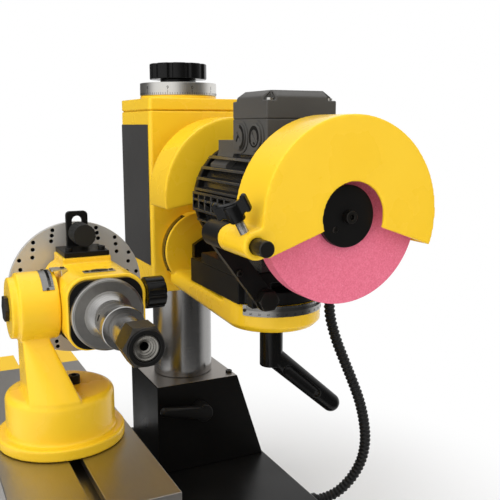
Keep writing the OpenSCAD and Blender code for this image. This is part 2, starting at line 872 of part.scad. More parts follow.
// The two engraved strips: round the platform's rim and round the tilt flange
module arm_scales() color(steel) {
  translate([platform_x, head_y, platform_top - scale_w]) rotate(scale_from)
    rotate_extrude(angle = scale_sweep) translate([platform_r + fit_gap, 0]) square([scale_t, scale_w]);
  translate([(arm_x0 + arm_x1 - tilt_scale_w) / 2, post_y, tilt_z]) rotate([90, 0, 90])
    rotate(tilt_scale_from)
    rotate_extrude(angle = tilt_scale_sweep) translate([tilt_r + fit_gap, 0]) square([scale_t, tilt_scale_w]);
}

module tilt_stud() color(dark) {
  rod_x(sleeve_x1 - stud_depth, arm_x1 + over, tilt_stud_d / 2, post_y, tilt_z);
  hex_x(arm_x1, arm_x1 + stud_head_t, stud_head_r, post_y, tilt_z);
}

// The clamp lever under the platform, with a long hollow in each side of its sloping arm
function lever_at(share) = [lever_l * share, 0,
  lever_root_r + (lever_hub_l - lever_fall - lever_root_r) * share];
module lever_bar(from, to, root_r, tip_r) hull() {
  translate(lever_at(from)) sphere(root_r, $fn = 32);
  translate(lever_at(to)) sphere(tip_r, $fn = 32);
}
module head_lever() color(black) translate([platform_x, head_y, platform_z0 - turn_gap - lever_hub_l])
  rotate(lever_turn) difference() {
    union() {
      cylinder(h = lever_hub_l, r = lever_hub_r);
      lever_bar(0, 1, lever_root_r, lever_tip_r);
    }
    translate([0, 0, lever_hub_l / 3]) cylinder(h = lever_hub_l, r = head_stud_d / 2 + run_gap);
    for (side = [-1, 1])
      translate([0, side * lever_slot_out, 0])
        lever_bar(lever_slot_from_share, lever_slot_to_share, lever_root_r * lever_slot_share,
          lever_tip_r * lever_slot_share);
  }

module head_stud() color(dark)
  rod_z(platform_z0 - lever_hub_l / 2, platform_top + turn_gap + head_stud_top, head_stud_d / 2,
    platform_x, head_y);

// Head: swivel block, motor plate and motor
module swivel_block() color(black) difference() {
  union() {
    slab(block_x0, block_x0 + block_l, head_y - block_w / 2, head_y + block_w / 2, platform_top + turn_gap,
      platform_top + turn_gap + block_h);
    rod_z(platform_top + turn_gap, platform_top + turn_gap + block_disc_t, platform_r - block_disc_in,
      platform_x, head_y);
  }
  rod_z(platform_top - over, platform_top + turn_gap + head_stud_top, head_stud_d / 2 + fit_gap,
    platform_x, head_y);
}

module motor_plate() color(black) difference() {
  union() {
    slab(plate_x0, plate_x1, head_y - block_w / 2, head_y + block_w / 2, foot_z - motor_plate_t, foot_z);
    slab(plate_x1 - lug_t, plate_x1, pivot_y - lug_w / 2, pivot_y + lug_w / 2, pivot_z - pivot_r, foot_z);
  }
  rod_x(plate_x1 - lug_t - over, plate_x1 + over, pivot_bolt_r + fit_gap, pivot_y, pivot_z);
}

// The motor's section: a round core with level fins on its sides and upright fins under it
module fin_section() intersection() {
  circle(motor_r);
  union() {
    circle(core_r);
    for (i = [-fin_rows : fin_rows])
      translate([0, i * fin_pitch]) square([2 * motor_r, fin_t], center = true);
    for (i = [-2 : 2])
      translate([i * fin_pitch, 0]) square([fin_t, 2 * motor_r], center = true);
  }
}
module motor_body() color(black) difference() {
  union() {
    along_x(motor_x0, motor_x1) translate([head_y, wheel_z]) fin_section();
    slab(motor_x - foot_l / 2, motor_x + foot_l / 2, head_y - foot_w / 2, head_y + foot_w / 2, foot_z,
      wheel_z - core_r / 2);
    slab(box_x - box_w / 2 - box_pad_back, box_x + box_w / 2 + box_pad_out, head_y - box_w / 2 + box_wall,
      head_y + box_w / 2 - box_wall, wheel_z, box_z0);
    for (end = [0, 180]) translate([motor_x0 + pad_l / 2, head_y, pad_z]) rotate(end) difference() {
      slab(-pad_l / 2, pad_l / 2, core_r - pad_in, core_r + pad_out, -pad_h / 2, pad_h / 2);
      for (i = [0 : pad_ribs - 1])
        translate([(i + 1 / 2) * pad_l / pad_ribs - pad_l / 2, core_r + pad_out, 0])
          cube([pad_l / pad_ribs - fin_t, pad_deep, pad_h - 2 * fin_t], center = true);
    }
  }
  rod_x(motor_x0 - over, motor_x1 + over, stator_r + fit_gap, head_y, wheel_z);
  slab(box_x - box_w / 2 - box_pad_back, box_x + box_w / 2 + box_pad_out, head_y - box_w / 2 - fit_gap,
    head_y + box_w / 2 + fit_gap, box_z0, wheel_z + 2 * motor_r);
  slab(motor_x0 - over, motor_x1 + over, head_y - motor_r, head_y + motor_r, foot_z - motor_r, foot_z);
}

// Both end shields, as one turned shape used at each end
module end_shield() difference() {
  union() {
    translate([motor_l / 2, 0, 0]) rotate([0, 90, 0]) cylinder(h = shield_t / 2, r = shield_r);
    translate([motor_l / 2 + shield_t / 2, 0, 0]) rotate([0, 90, 0])
      cylinder(h = shield_t / 2, r1 = shield_r, r2 = shield_r - shield_t / 2);
  }
  translate([motor_l / 2 - over, 0, 0]) rotate([0, 90, 0])
    cylinder(h = bearing_w + over, r = bearing_r + fit_gap);
  translate([motor_l / 2 - over, 0, 0]) rotate([0, 90, 0])
    cylinder(h = shield_t + 2 * over, r = shield_hole_r);
}
module end_shields() color(black) for (end = [0, 180])
  translate([motor_x, head_y, wheel_z]) rotate(end) end_shield();

module stator() color(dark) difference() {
  rod_x(motor_x - core_l / 2, motor_x + core_l / 2, stator_r, head_y, wheel_z);
  rod_x(motor_x - core_l / 2 - over, motor_x + core_l / 2 + over, rotor_r + air_gap, head_y, wheel_z);
}

module motor_bearings() color(steel) for (end = [0, 180])
  translate([motor_x, head_y, wheel_z]) rotate(end) difference() {
    translate([motor_l / 2, 0, 0]) rotate([0, 90, 0]) cylinder(h = bearing_w - fit_gap, r = bearing_r);
    translate([motor_l / 2 - over, 0, 0]) rotate([0, 90, 0])
      cylinder(h = bearing_w + 2 * over, r = shaft_d / 2 + run_gap);
  }

// Terminal box with two cable entries on the operator's side and the gland hole behind
module terminal_box() color(dark) difference() {
  slab(box_x - box_w / 2, box_x + box_w / 2, head_y - box_w / 2, head_y + box_w / 2, box_z0, box_z1);
  slab(box_x - box_w / 2 + box_wall, box_x + box_w / 2 - box_wall, head_y - box_w / 2 + box_wall,
    head_y + box_w / 2 - box_wall, box_z0 + box_wall, box_z1 + over);
  for (side = [-1, 1])
    rod_y(head_y - box_w / 2 - over, head_y - box_w / 2 + box_wall + over, entry_r + fit_gap,
      box_x + side * plug_gap / 2, box_z0 + box_h / 2);
  rod_y(box_gland_y - 2 * box_wall, box_gland_y + over, gland_nipple_r + fit_gap, box_gland_x, box_gland_z);
}

module terminal_lid() color(dark) difference() {
  union() {
    slab(box_x - box_w / 2, box_x + box_w / 2, head_y - box_w / 2, head_y + box_w / 2, box_z1, lid_z1);
    hull() {
      slab(box_x - box_w / 2, box_x + box_w / 2, head_y - box_w / 2, head_y + box_w / 2, lid_z1 - over,
        lid_z1);
      slab(box_x - box_w / 2 * lid_top_share, box_x + box_w / 2 * lid_top_share,
        head_y - box_w / 2 * lid_top_share, head_y + box_w / 2 * lid_top_share, lid_z1, lid_z1 + lid_rise);
    }
  }
  for (x = [-1, 1], y = [-1, 1])
    translate([box_x + x * box_w / 2, head_y + y * box_w / 2, lid_z1 - lid_notch_h + lid_rise])
      cube([2 * lid_notch, 2 * lid_notch, 2 * lid_rise], center = true);
}

module entry_plugs() color(black) for (side = [-1, 1]) difference() {
  union() {
    rod_y(head_y - box_w / 2, head_y - box_w / 2 + box_wall, entry_r, box_x + side * plug_gap / 2,
      box_z0 + box_h / 2);
    rod_y(head_y - box_w / 2 - plug_t, head_y - box_w / 2, plug_r, box_x + side * plug_gap / 2,
      box_z0 + box_h / 2);
  }
  translate([box_x + side * plug_gap / 2, head_y - box_w / 2 - plug_t, box_z0 + box_h / 2])
    rotate([0, 45, 0]) cube([plug_r, plug_t, plug_slot_w], center = true);
}

module box_gland() color(black) gland(box_gland_x, box_gland_y, box_gland_z, box_wall);

// Guard support: a slanted bar with a long collar for the rod, its rod and its pivot bolt
module guard_arm() color(black) difference() {
  union() {
    along_x(plate_x1, plate_x1 + bar_t) {
      translate([pivot_y, pivot_z]) circle(pivot_r);
      translate([(boss_y + pivot_y) / 2, (boss_z + pivot_z) / 2])
        rotate(atan2(boss_z - pivot_z, boss_y - pivot_y))
          square([norm([boss_y - pivot_y, boss_z - pivot_z]), bar_w], center = true);
    }
    rod_x(collar_x0, collar_x1, boss_r, boss_y, boss_z);
  }
  rod_x(collar_x0 - over, collar_x1 + over, rod_d / 2 + fit_gap, boss_y, boss_z);
  rod_x(plate_x1 - over, plate_x1 + bar_t + over, pivot_bolt_r + fit_gap, pivot_y, pivot_z);
}

module guard_rod() color(dark)
  rod_x(collar_x0, guard_x1 + rod_front, rod_d / 2, boss_y, boss_z);

module guard_bolt() color(black) {
  rod_x(plate_x1 - lug_t, plate_x1 + bar_t + over, pivot_bolt_r, pivot_y, pivot_z);
  hex_x(plate_x1 + bar_t, plate_x1 + bar_t + pivot_head_t, pivot_head_r, pivot_y, pivot_z);
}

// The rear guard is bolted to the motor's end shield through a round spacer
module rear_guard() color(yellow) {
  x0 = motor_x - guard_reach;
  guard_drum(x0, x0 + guard_depth, rear_guard_drop);
  along_x(x0 + guard_depth, motor_x0 - shield_t) translate([head_y, wheel_z]) difference() {
    circle(spacer_r);
    circle(keyhole_r);
    guard_gap(rear_guard_drop);
  }
}

// Rotor: shaft, core, wheels, flanges and screws
module motor_shaft() color(steel) difference() {
  rod_x(motor_x - shaft_end, motor_x + shaft_end, shaft_d / 2, head_y, wheel_z);
  for (side = [-1, 1])
    rod_x(motor_x + side * (shaft_end - screw_l / 2 + over) - screw_l / 2 - over,
      motor_x + side * (shaft_end - screw_l / 2 + over) + screw_l / 2 + over, screw_r + fit_gap, head_y,
      wheel_z);
}

module rotor_core() color(dark) difference() {
  rod_x(motor_x - core_l / 2, motor_x + core_l / 2, rotor_r, head_y, wheel_z);
  rod_x(motor_x - core_l / 2 - over, motor_x + core_l / 2 + over, shaft_d / 2 + fit_gap, head_y, wheel_z);
}

// A grinding wheel, and the bush of its inner flange that carries it
module wheel(x0, x1, d) difference() {
  rod_x(x0, x1, d / 2, head_y, wheel_z);
  rod_x(x0 - over, x1 + over, wheel_bore_r, head_y, wheel_z);
}
module front_wheel() color(pink) wheel(wheel_x0, wheel_x1, wheel_d);
module rear_wheel() color(pink) wheel(2 * motor_x - wheel_x1, 2 * motor_x - wheel_x0, rear_wheel_d);

module inner_flange() difference() {
  union() {
    translate([wheel_reach - wheel_t - flange_t, 0, 0]) rotate([0, 90, 0])
      cylinder(h = flange_t, r = flange_d / 2);
    translate([wheel_reach - wheel_t - over, 0, 0]) rotate([0, 90, 0])
      cylinder(h = wheel_t + over - fit_gap, r = wheel_bore_r - fit_gap);
  }
  translate([wheel_reach - wheel_t - 2 * flange_t, 0, 0]) rotate([0, 90, 0])
    cylinder(h = wheel_t + 3 * flange_t, r = shaft_d / 2 + fit_gap);
}
module outer_flange() difference() {
  translate([wheel_reach, 0, 0]) rotate([0, 90, 0]) cylinder(h = flange_t, r = flange_d / 2);
  translate([wheel_reach - over, 0, 0]) rotate([0, 90, 0])
    cylinder(h = shaft_end - wheel_reach + over + fit_gap, r = shaft_d / 2 + fit_gap);
  translate([wheel_reach - over, 0, 0]) rotate([0, 90, 0])
    cylinder(h = flange_t + 2 * over, r = screw_r + fit_gap);
  translate([wheel_reach - over, flange_pin_y, flange_pin_z]) rotate([0, 90, 0])
    cylinder(h = flange_t + 2 * over, r = flange_pin_r);
}
module wheel_flanges() color(black) for (end = [0, 180])
  translate([motor_x, head_y, wheel_z]) rotate(end) {
    inner_flange();
    outer_flange();
  }

module wheel_screws() color(dark) for (end = [0, 180])
  translate([motor_x + (end == 0 ? 1 : -1) * (wheel_reach + flange_t), head_y, wheel_z]) rotate(end)
  difference() {
    union() {
      rotate([0, 90, 0]) cylinder(h = screw_head_t, r = screw_head_r);
      translate([shaft_end - screw_l - wheel_reach - flange_t + over, 0, 0]) rotate([0, 90, 0])
        cylinder(h = screw_l + flange_t + wheel_reach - shaft_end, r = screw_r);
    }
    translate([screw_head_t - socket_deep, 0, 0]) rotate([0, 90, 0])
      cylinder(h = socket_deep + over, r = socket_r, $fn = 6);
  }

// The front guard slides on its rod
module front_guard() color(yellow) difference() {
  union() {
    guard_drum(guard_x0, guard_x1, guard_drop);
    difference() {
      along_x(guard_x0, guard_x1) hull() {
        translate([boss_y, boss_z]) circle(boss_r, $fn = 48);
        translate([boss_y + boss_web_in, boss_z + boss_web_up]) circle(boss_r, $fn = 48);
      }
      rod_x(guard_x0 - over, guard_x1 + over, guard_inner_r, head_y, wheel_z);
    }
  }
  rod_x(guard_x0 - over, guard_x1 + over, rod_d / 2 + run_gap, boss_y, boss_z);
  translate([wing_x, boss_y, boss_z]) rotate([wing_turn, 0, 0])
    cylinder(h = 2 * boss_r, r = wing_stem_r + run_gap);
}

module wing_knob() color(black) translate([wing_x, boss_y, boss_z]) rotate([wing_turn, 0, 0]) {
  translate([0, 0, rod_d / 2 + 2 * turn_gap]) cylinder(h = wing_hub_at - rod_d / 2, r = wing_stem_r);
  translate([0, 0, wing_hub_at]) cylinder(h = wing_hub_l, r = wing_hub_r);
  rotate(wing_face) along_y(-wing_t / 2, wing_t / 2) translate([0, wing_hub_at]) {
    for (side = [-1, 1]) {
      polygon([[0, 0], [side * wing_reach, wing_hub_l / 2], [side * wing_reach, wing_lift + wing_hub_l / 2],
        [0, wing_hub_l]]);
      translate([side * wing_reach, wing_hub_l / 2]) circle(wing_tip_r);
      translate([side * wing_reach, wing_lift + wing_hub_l / 2]) circle(wing_tip_r);
      translate([side * wing_reach - wing_tip_r, wing_hub_l / 2]) square([2 * wing_tip_r, wing_lift]);
    }
  }
}

// Saddle, table and their feeds
module saddle() color(yellow) difference() {
  union() {
    slab(work_x - saddle_l / 2, work_x + saddle_l / 2, table_y - saddle_w / 2, table_y + saddle_w / 2,
      saddle_z0, saddle_z1);
    along_x(work_x - saddle_l / 2, work_x + saddle_l / 2) translate([table_y, saddle_z1]) dovetail(0);
    slab(cross_x - nut_lug_w / 2, cross_x + nut_lug_w / 2, lug_y - nut_lug_t / 2, lug_y + nut_lug_t / 2,
      cross_z - nut_lug_w / 2, saddle_z0 + over);
  }
  along_y(table_y - saddle_w, table_y + saddle_w) translate([work_x, way_z1]) dovetail(turn_gap);
  rod_y(lug_y - nut_lug_t, lug_y + nut_lug_t, feed_bore, cross_x, cross_z);
  rod_x(work_x - saddle_l, work_x + saddle_l, feed_bore, table_y, table_screw_z);
}

module cross_screw() color(steel)
  rod_y(cross_face - wheel_hub_l, bracket_y1 + over, feed_r, cross_x, cross_z);

module cross_handwheel() color(black)
  translate([cross_x, cross_face - turn_gap, cross_z]) rotate([90, 0, 0]) handwheel();

module table() color(steel) difference() {
  union() {
    slab(table_x0, table_x1, table_y - table_w / 2, table_y + table_w / 2, table_z0, table_top);
    for (x = [table_x0, table_x1 - end_lug_t])
      slab(x, x + end_lug_t, table_y - end_lug_w / 2, table_y + end_lug_w / 2, table_z0 - end_lug_drop,
        table_z0 + over);
  }
  along_x(table_x0 + end_lug_t, table_x1 - end_lug_t) translate([table_y, saddle_z1]) dovetail(turn_gap);
  along_x(table_x0 - over, table_x1 + over) translate([table_y, table_top]) {
    translate([-tee_w / 2, -tee_neck - tee_foot_h]) square([tee_w, tee_neck + tee_foot_h + over]);
    translate([-tee_w / 2 - tee_foot_out, -tee_neck - tee_foot_h])
      square([tee_w + 2 * tee_foot_out, tee_foot_h]);
  }
  rod_x(table_x0 - over, table_x1 + over, feed_bore, table_y, table_screw_z);
}

module table_screw() color(steel)
  rod_x(table_x0, table_x1 + wheel_hub_l, feed_r, table_y, table_screw_z);

module table_handwheel() color(black)
  translate([table_x1 + turn_gap, table_y, table_screw_z]) rotate([0, 90, 0]) handwheel();

// Workhead: swivel base with its leg and trunnion
module work_base() color(yellow) difference() {
  union() {
    translate([work_x, table_y, swivel_z0]) rotate_extrude() difference() {
      union() {
        square([swivel_r, swivel_h - swivel_round]);
        square([swivel_r - swivel_round, swivel_h]);
        translate([swivel_r - swivel_round, swivel_h - swivel_round]) circle(swivel_round);
        square([swivel_r + swivel_flange_out, swivel_flange_h]);
      }
      translate([-swivel_r, 0]) square([swivel_r, 2 * swivel_h]);
    }
    hull() {
      slab(work_x - leg_w / 2, work_x + leg_w / 2, trunnion_y1 - leg_d, trunnion_y1 - leg_d + leg_top_d,
        spindle_z - leg_drop, spindle_z - leg_drop + leg_t);
      intersection() {
        rod_z(swivel_z1 - leg_t, swivel_z1, leg_foot_r, work_x, table_y, $fn = 48);
        slab(work_x - leg_w / 2, work_x + swivel_r, trunnion_y1 - leg_d, trunnion_y1 + leg_lean,
          swivel_z1 - leg_t, swivel_z1);
      }
    }
    rod_y(trunnion_y0 + trunnion_step_l, trunnion_y1, trunnion_r, work_x, spindle_z);
    rod_y(trunnion_y0, trunnion_y1 - over, trunnion_r - trunnion_step_in, work_x, spindle_z);
  }
  rod_y(trunnion_y1 - pin_l - turn_gap, trunnion_y1 + over, tilt_pin_d / 2 + run_gap, work_x, spindle_z);
}

module tilt_nut() color(black) hex_y(trunnion_y0 - tilt_nut_t, trunnion_y0, tilt_nut_r, work_x, spindle_z);

// The tilting housing, with its pin, top pad and knob boss
module work_housing() color(yellow) difference() {
  union() {
    along_x(housing_x0, housing_x1) translate([(housing_y0 + housing_y1) / 2, spindle_z])
      rounded_rect(housing_d, housing_w, housing_r);
    rod_y(housing_y0 - pin_l, housing_y0 + over, tilt_pin_d / 2, work_x, spindle_z);
    slab(housing_x0 + upright_t / 3, pad_x1, spindle_y - pad_w / 2, spindle_y + pad_w / 2,
      housing_z1 - pad_rise, housing_z1 + pad_rise);
    rod_y(housing_y1 - over, housing_y1 + knob_boss_h, knob_boss_r, knob_x, knob_z);
  }
  rod_x(housing_x0 - over, housing_x1 + over, spindle_d / 2 + run_gap, spindle_y, spindle_z);
  rod_y(housing_y1 + knob_boss_h - knob_stem_l - turn_gap, housing_y1 + knob_boss_h + over,
    knob_stem_r + run_gap,
    knob_x, knob_z);
}

module front_plate() color(black) difference() {
  along_x(housing_x1, housing_x1 + front_plate_t) translate([(housing_y0 + housing_y1) / 2, spindle_z])
    rounded_rect(housing_d - front_plate_in, housing_w - front_plate_in, housing_r - front_plate_in / 2);
  rod_x(housing_x1 - over, housing_x1 + front_plate_t + over, spindle_d / 2 + run_gap, spindle_y, spindle_z);
}

module nose_ring() color(steel) difference() {
  union() {
    rod_x(nose_x0 - nose_ring_t, nose_x0 - nose_ring_edge, nose_ring_d / 2, spindle_y, spindle_z);
    rod_x(nose_x0 - nose_ring_t, nose_x0, nose_ring_d / 2 - nose_ring_edge, spindle_y, spindle_z);
  }
  rod_x(nose_x0 - nose_ring_t - over, nose_x0 + over, spindle_d / 2 + run_gap, spindle_y, spindle_z);
}

// The plunger's bracket: a foot on the pad and an upright with a round-ended slot
module index_bracket() color(black) {
  foot_z0 = housing_z1 + pad_rise;
  slab(plunger_x0, plunger_x0 + bracket_foot_l, spindle_y - bracket_foot_w / 2,
    spindle_y + bracket_foot_w / 2,
    foot_z0, foot_z0 + bracket_foot_h);
  along_x(plunger_x0, plunger_x0 + upright_t) difference() {
    translate([spindle_y, foot_z0 + (bracket_foot_h + upright_h) / 2])
      rounded_rect(upright_w, bracket_foot_h + upright_h, upright_r);
    translate([spindle_y, plunger_z - slot_travel]) circle(barrel_r + run_gap);
    translate([spindle_y, plunger_z + slot_rise]) circle(barrel_r + run_gap);
    translate([spindle_y - barrel_r - run_gap, plunger_z - slot_travel])
      square([2 * (barrel_r + run_gap), slot_travel + slot_rise]);
  }
}

module zero_plate() color(steel) slab(zero_x, zero_x + zero_l, spindle_y - zero_w / 2, spindle_y + zero_w / 2,
  housing_z1, housing_z1 + zero_t);

// Spindle: rear flange for the disc, plain journal, stepped nose, and the collet's seat
module work_spindle() color(steel) difference() {
  union() {
    rod_x(disc_x0 - disc_nut_t, disc_x1, disc_seat_r, spindle_y, spindle_z);
    rod_x(disc_x1, housing_x0 - turn_gap, disc_flange_r, spindle_y, spindle_z);
    rod_x(housing_x0 - over, nose_x0 + turn_gap, spindle_d / 2, spindle_y, spindle_z);
    translate([nose_x0 + turn_gap, spindle_y, spindle_z]) rotate([0, 90, 0])
      cylinder(h = cone_l, r1 = cone_r, r2 = neck1_r);
    rod_x(nose_x0 + cone_l, nose_x0 + cone_l + neck1_l, neck1_r, spindle_y, spindle_z);
    rod_x(nose_x0 + cone_l + neck1_l, nose_x0 + cone_l + neck1_l + collar_l, collar_r, spindle_y, spindle_z);
    rod_x(nose_x0 + cone_l + neck1_l, nose_x1 - collet_head_l - 2 * nut_lip, neck2_r, spindle_y, spindle_z);
  }
  rod_x(nose_x1 - nut_lip - collet_head_l - collet_tail_l - turn_gap, nose_x1, collet_tail_r + fit_gap,
    spindle_y, spindle_z);
}

module collet_nut() color(dark) difference() {
  union() {
    hex_x(nose_x1 - nut_l2, nose_x1 - nut_lip, nut_af / 2 / cos(30), spindle_y, spindle_z);
    rod_x(nose_x1 - nut_lip - over, nose_x1, nut_ring_r, spindle_y, spindle_z);
  }
  rod_x(nose_x1 - nut_l2 - over, nose_x1 - collet_head_l - nut_lip, neck2_r + fit_gap, spindle_y, spindle_z);
  rod_x(nose_x1 - nut_l2, nose_x1 + over, collet_face_r + fit_gap, spindle_y, spindle_z);
}

module collet() color(steel) difference() {
  union() {
    rod_x(nose_x1 - nut_lip - collet_head_l - collet_tail_l, nose_x1 - nut_lip - collet_head_l + over,
      collet_tail_r, spindle_y, spindle_z);
    rod_x(nose_x1 - nut_lip - collet_head_l, nose_x1 - nut_lip / 2, collet_face_r, spindle_y, spindle_z);
  }
  rod_x(nose_x1 - nut_lip - collet_head_l - collet_tail_l - over, nose_x1 + over, collet_d / 2, spindle_y,
    spindle_z);
}

module hole_circle(ring) {
  count = disc_holes - ring * fewer_holes;
  for (i = [0 : count - 1])
    rotate(90 + i * 360 / count) translate([hole_ring - ring * hole_step, 0]) circle(hole_r);
}
module index_disc() color(steel) difference() {
  along_x(disc_x0, disc_x1) translate([spindle_y, spindle_z]) difference() {
    circle(disc_r, $fn = 128);
    circle(disc_seat_r + fit_gap);
  }
  along_x(disc_x0 + disc_web, disc_x1 + over) translate([spindle_y, spindle_z])
    for (ring = [0 : hole_rings - 1]) hole_circle(ring);
}

// The plunger, drawn back clear of the disc: pin, barrel and knurled knob
module index_plunger() color(dark) {
  knob_x0 = plunger_x0 + upright_t + plunger_clear;
  rod_x(disc_x1 + turn_gap, plunger_x0, pin_r, spindle_y, plunger_z);
  rod_x(plunger_x0 - turn_gap, knob_x0 + over, barrel_r, spindle_y, plunger_z);
  along_x(knob_x0, knob_x0 + plunger_knob_l) translate([spindle_y, plunger_z])
    scalloped(plunger_knob_r, plunger_turns, 1 / plunger_turns);
}

module work_knob() color(black) {
  y0 = housing_y1 + knob_boss_h + turn_gap;
  rod_y(y0 - knob_stem_l, y0 + over, knob_stem_r, knob_x, knob_z);
  along_y(y0, y0 + knob_h) translate([knob_x, knob_z]) scalloped(knob_r, knob_lobes, 1 / knob_lobes);
}

base();
base_plate();
pedestal();
base_gland();
conduit();
column_lever();
post();
lift_nut();
sleeve();
sleeve_cap();
lift_screw();
lift_dial();
lift_knob();
knee_arm();
arm_scales();
tilt_stud();
head_lever();
head_stud();
swivel_block();
motor_plate();
motor_body();
end_shields();
stator();
motor_bearings();
terminal_box();
terminal_lid();
entry_plugs();
box_gland();
guard_arm();
guard_rod();
guard_bolt();
rear_guard();
motor_shaft();
rotor_core();
front_wheel();
rear_wheel();
wheel_flanges();
wheel_screws();
front_guard();
wing_knob();
saddle();
cross_screw();
cross_handwheel();
table();
table_screw();
table_handwheel();
work_base();
tilt_nut();
work_housing();
front_plate();
nose_ring();
index_bracket();
zero_plate();
work_spindle();
collet_nut();
collet();
index_disc();
index_plunger();
work_knob();
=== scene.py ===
"""Looks of a bench tool and cutter grinder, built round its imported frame.

Lengths are written in millimetres and turned into metres when a piece is finished.
+X is the way the front wheel faces, the operator stands at -Y, and the floor is Z = 0.
"""
import json
import math

import bmesh
import bpy
from mathutils import Matrix, Vector


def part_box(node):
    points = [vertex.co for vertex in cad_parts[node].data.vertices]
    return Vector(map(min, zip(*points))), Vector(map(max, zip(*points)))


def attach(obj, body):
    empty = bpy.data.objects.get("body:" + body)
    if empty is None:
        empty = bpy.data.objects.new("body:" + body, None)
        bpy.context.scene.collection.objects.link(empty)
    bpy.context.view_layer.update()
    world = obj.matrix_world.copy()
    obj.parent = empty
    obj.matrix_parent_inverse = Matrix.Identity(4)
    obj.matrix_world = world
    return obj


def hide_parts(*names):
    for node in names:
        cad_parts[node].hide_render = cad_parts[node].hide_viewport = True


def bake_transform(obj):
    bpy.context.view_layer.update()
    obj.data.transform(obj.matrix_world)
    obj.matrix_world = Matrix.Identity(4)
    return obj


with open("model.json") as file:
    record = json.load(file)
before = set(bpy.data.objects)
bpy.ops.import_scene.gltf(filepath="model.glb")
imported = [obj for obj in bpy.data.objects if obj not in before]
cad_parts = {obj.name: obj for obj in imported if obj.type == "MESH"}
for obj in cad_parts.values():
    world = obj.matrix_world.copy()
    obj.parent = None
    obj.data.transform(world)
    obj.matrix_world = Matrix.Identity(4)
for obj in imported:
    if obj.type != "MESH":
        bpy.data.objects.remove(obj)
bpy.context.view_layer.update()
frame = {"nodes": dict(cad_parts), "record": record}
BODY_OF = {node: body for body, nodes in frame["record"]["behaviour"]["bodies"].items() for node in nodes}

MM = 0.001
MERGE = 2e-6  # corners of a CAD mesh that are closer than this, in metres, are one
SHARP = 38  # edges that turn by more than this, in degrees, stay sharp
HEX_FALL = 0.577  # slope of a hexagon's turned corners
X, Y, Z = (1, 0, 0), (0, 1, 0), (0, 0, 1)
FRONT, DOWN = (0, -1, 0), (0, 0, -1)
WHITE = (1, 1, 1, 1)
FLOAT, INT, VECTOR = "NodeSocketFloat", "NodeSocketInt", "NodeSocketVector"
OBJECT, MATERIAL = "NodeSocketObject", "NodeSocketMaterial"

# Places shared by several pieces, the same as the CAD source's
POST = (-107, 112.5)  # X and Y of the column
TILT = (112.5, 436)  # Y and Z of the arm's tilt
PLATFORM = (150, 135)  # X and Y of the head's swivel
BOX = (177, 135)  # X and Y of the terminal box
PLUGS = (157, 197)  # X of its two plugs
SPINDLE = (-81, 413)  # Y and Z of the work spindle
TRUNNION = (115, 413)  # X and Z of the workhead's tilt


def axes(right, up, out):
    """A turn that takes X, Y and Z to three other ways."""
    return Matrix((right, up, out)).transposed().to_4x4()


UPRIGHT = Matrix.Identity(4)
ALONG_X, ALONG_Y, FACING_FRONT = axes(Y, Z, X), axes(Z, X, Y), axes(X, Z, FRONT)


def spoke(angle, axis=UPRIGHT):
    """The way out from an axis at an angle round it."""
    a = math.radians(angle)
    return axis.to_3x3() @ Vector((math.cos(a), math.sin(a), 0))


# Nodes

def add(tree, kind, inputs=None, **settings):
    """A node with its settings made and its inputs filled or linked."""
    made = tree.nodes.new(kind)
    for name, value in settings.items():
        setattr(made, name, value)
    for socket, value in (inputs or {}).items():
        if isinstance(value, bpy.types.NodeSocket):
            tree.links.new(value, made.inputs[socket])
        else:
            made.inputs[socket].default_value = value
    return made


def maths(tree, operation, *values):
    """The result of a Math node."""
    return add(tree, "ShaderNodeMath", dict(enumerate(values)), operation=operation).outputs[0]


def between(tree, share, low, high):
    """A value that is some share of the way from low to high."""
    return add(tree, "ShaderNodeMix", {0: share, 2: low, 3: high}).outputs[0]


def ranged(tree, value, low, high, start=0.0, end=1.0, smooth=False):
    """A value with the range from low to high taken to another one."""
    limits = {"Value": value, "From Min": low, "From Max": high, "To Min": start, "To Max": end}
    easing = "SMOOTHSTEP" if smooth else "LINEAR"
    return add(tree, "ShaderNodeMapRange", limits, interpolation_type=easing).outputs["Result"]


def noise(tree, place, scale, detail, rough=0.5):
    """The value of a noise."""
    values = {"Vector": place, "Scale": scale, "Detail": detail, "Roughness": rough}
    return add(tree, "ShaderNodeTexNoise", values).outputs["Fac"]


def bumps(tree, strength, distance, height):
    """The normal of a surface with bumps."""
    values = {"Strength": strength, "Distance": distance, "Height": height}
    return add(tree, "ShaderNodeBump", values).outputs["Normal"]


def shade_between(tree, mask, dark, light):
    """A colour that runs from dark to light with a mask."""
    mix = add(tree, "ShaderNodeMix", data_type="RGBA")
    tree.links.new(mask, mix.inputs[0])
    for socket, value in ((6, dark), (7, light)):
        if isinstance(value, bpy.types.NodeSocket):
            tree.links.new(value, mix.inputs[socket])
        else:
            mix.inputs[socket].default_value = (*value, 1)
    return mix.outputs[2]


# Shader node groups and finishes

def surface_group(name, label, kind):
    """A shader group for a surface, empty but for its sockets; returns its tree, inputs and outputs."""
    tree = bpy.data.node_groups.new(name, "ShaderNodeTree")
    for socket, of in (("Vector", VECTOR), (label, kind), ("Depth", FLOAT), ("Low", FLOAT), ("High", FLOAT)):
        tree.interface.new_socket(socket, in_out="INPUT", socket_type=of)
    for socket, of in (("Roughness", FLOAT), ("Shade", FLOAT), ("Normal", VECTOR)):
        tree.interface.new_socket(socket, in_out="OUTPUT", socket_type=of)
    return tree, add(tree, "NodeGroupInput").outputs, add(tree, "NodeGroupOutput").inputs


def close_group(tree, given, out, shade, height, distance):
    """Ends a surface group: one noise gives its gloss and shade, and one its bumps."""
    tree.links.new(ranged(tree, shade, 0.3, 0.7, given["Low"], given["High"]), out["Roughness"])
    tree.links.new(shade, out["Shade"])
    tree.links.new(bumps(tree, given["Depth"], distance, height), out["Normal"])
    return tree


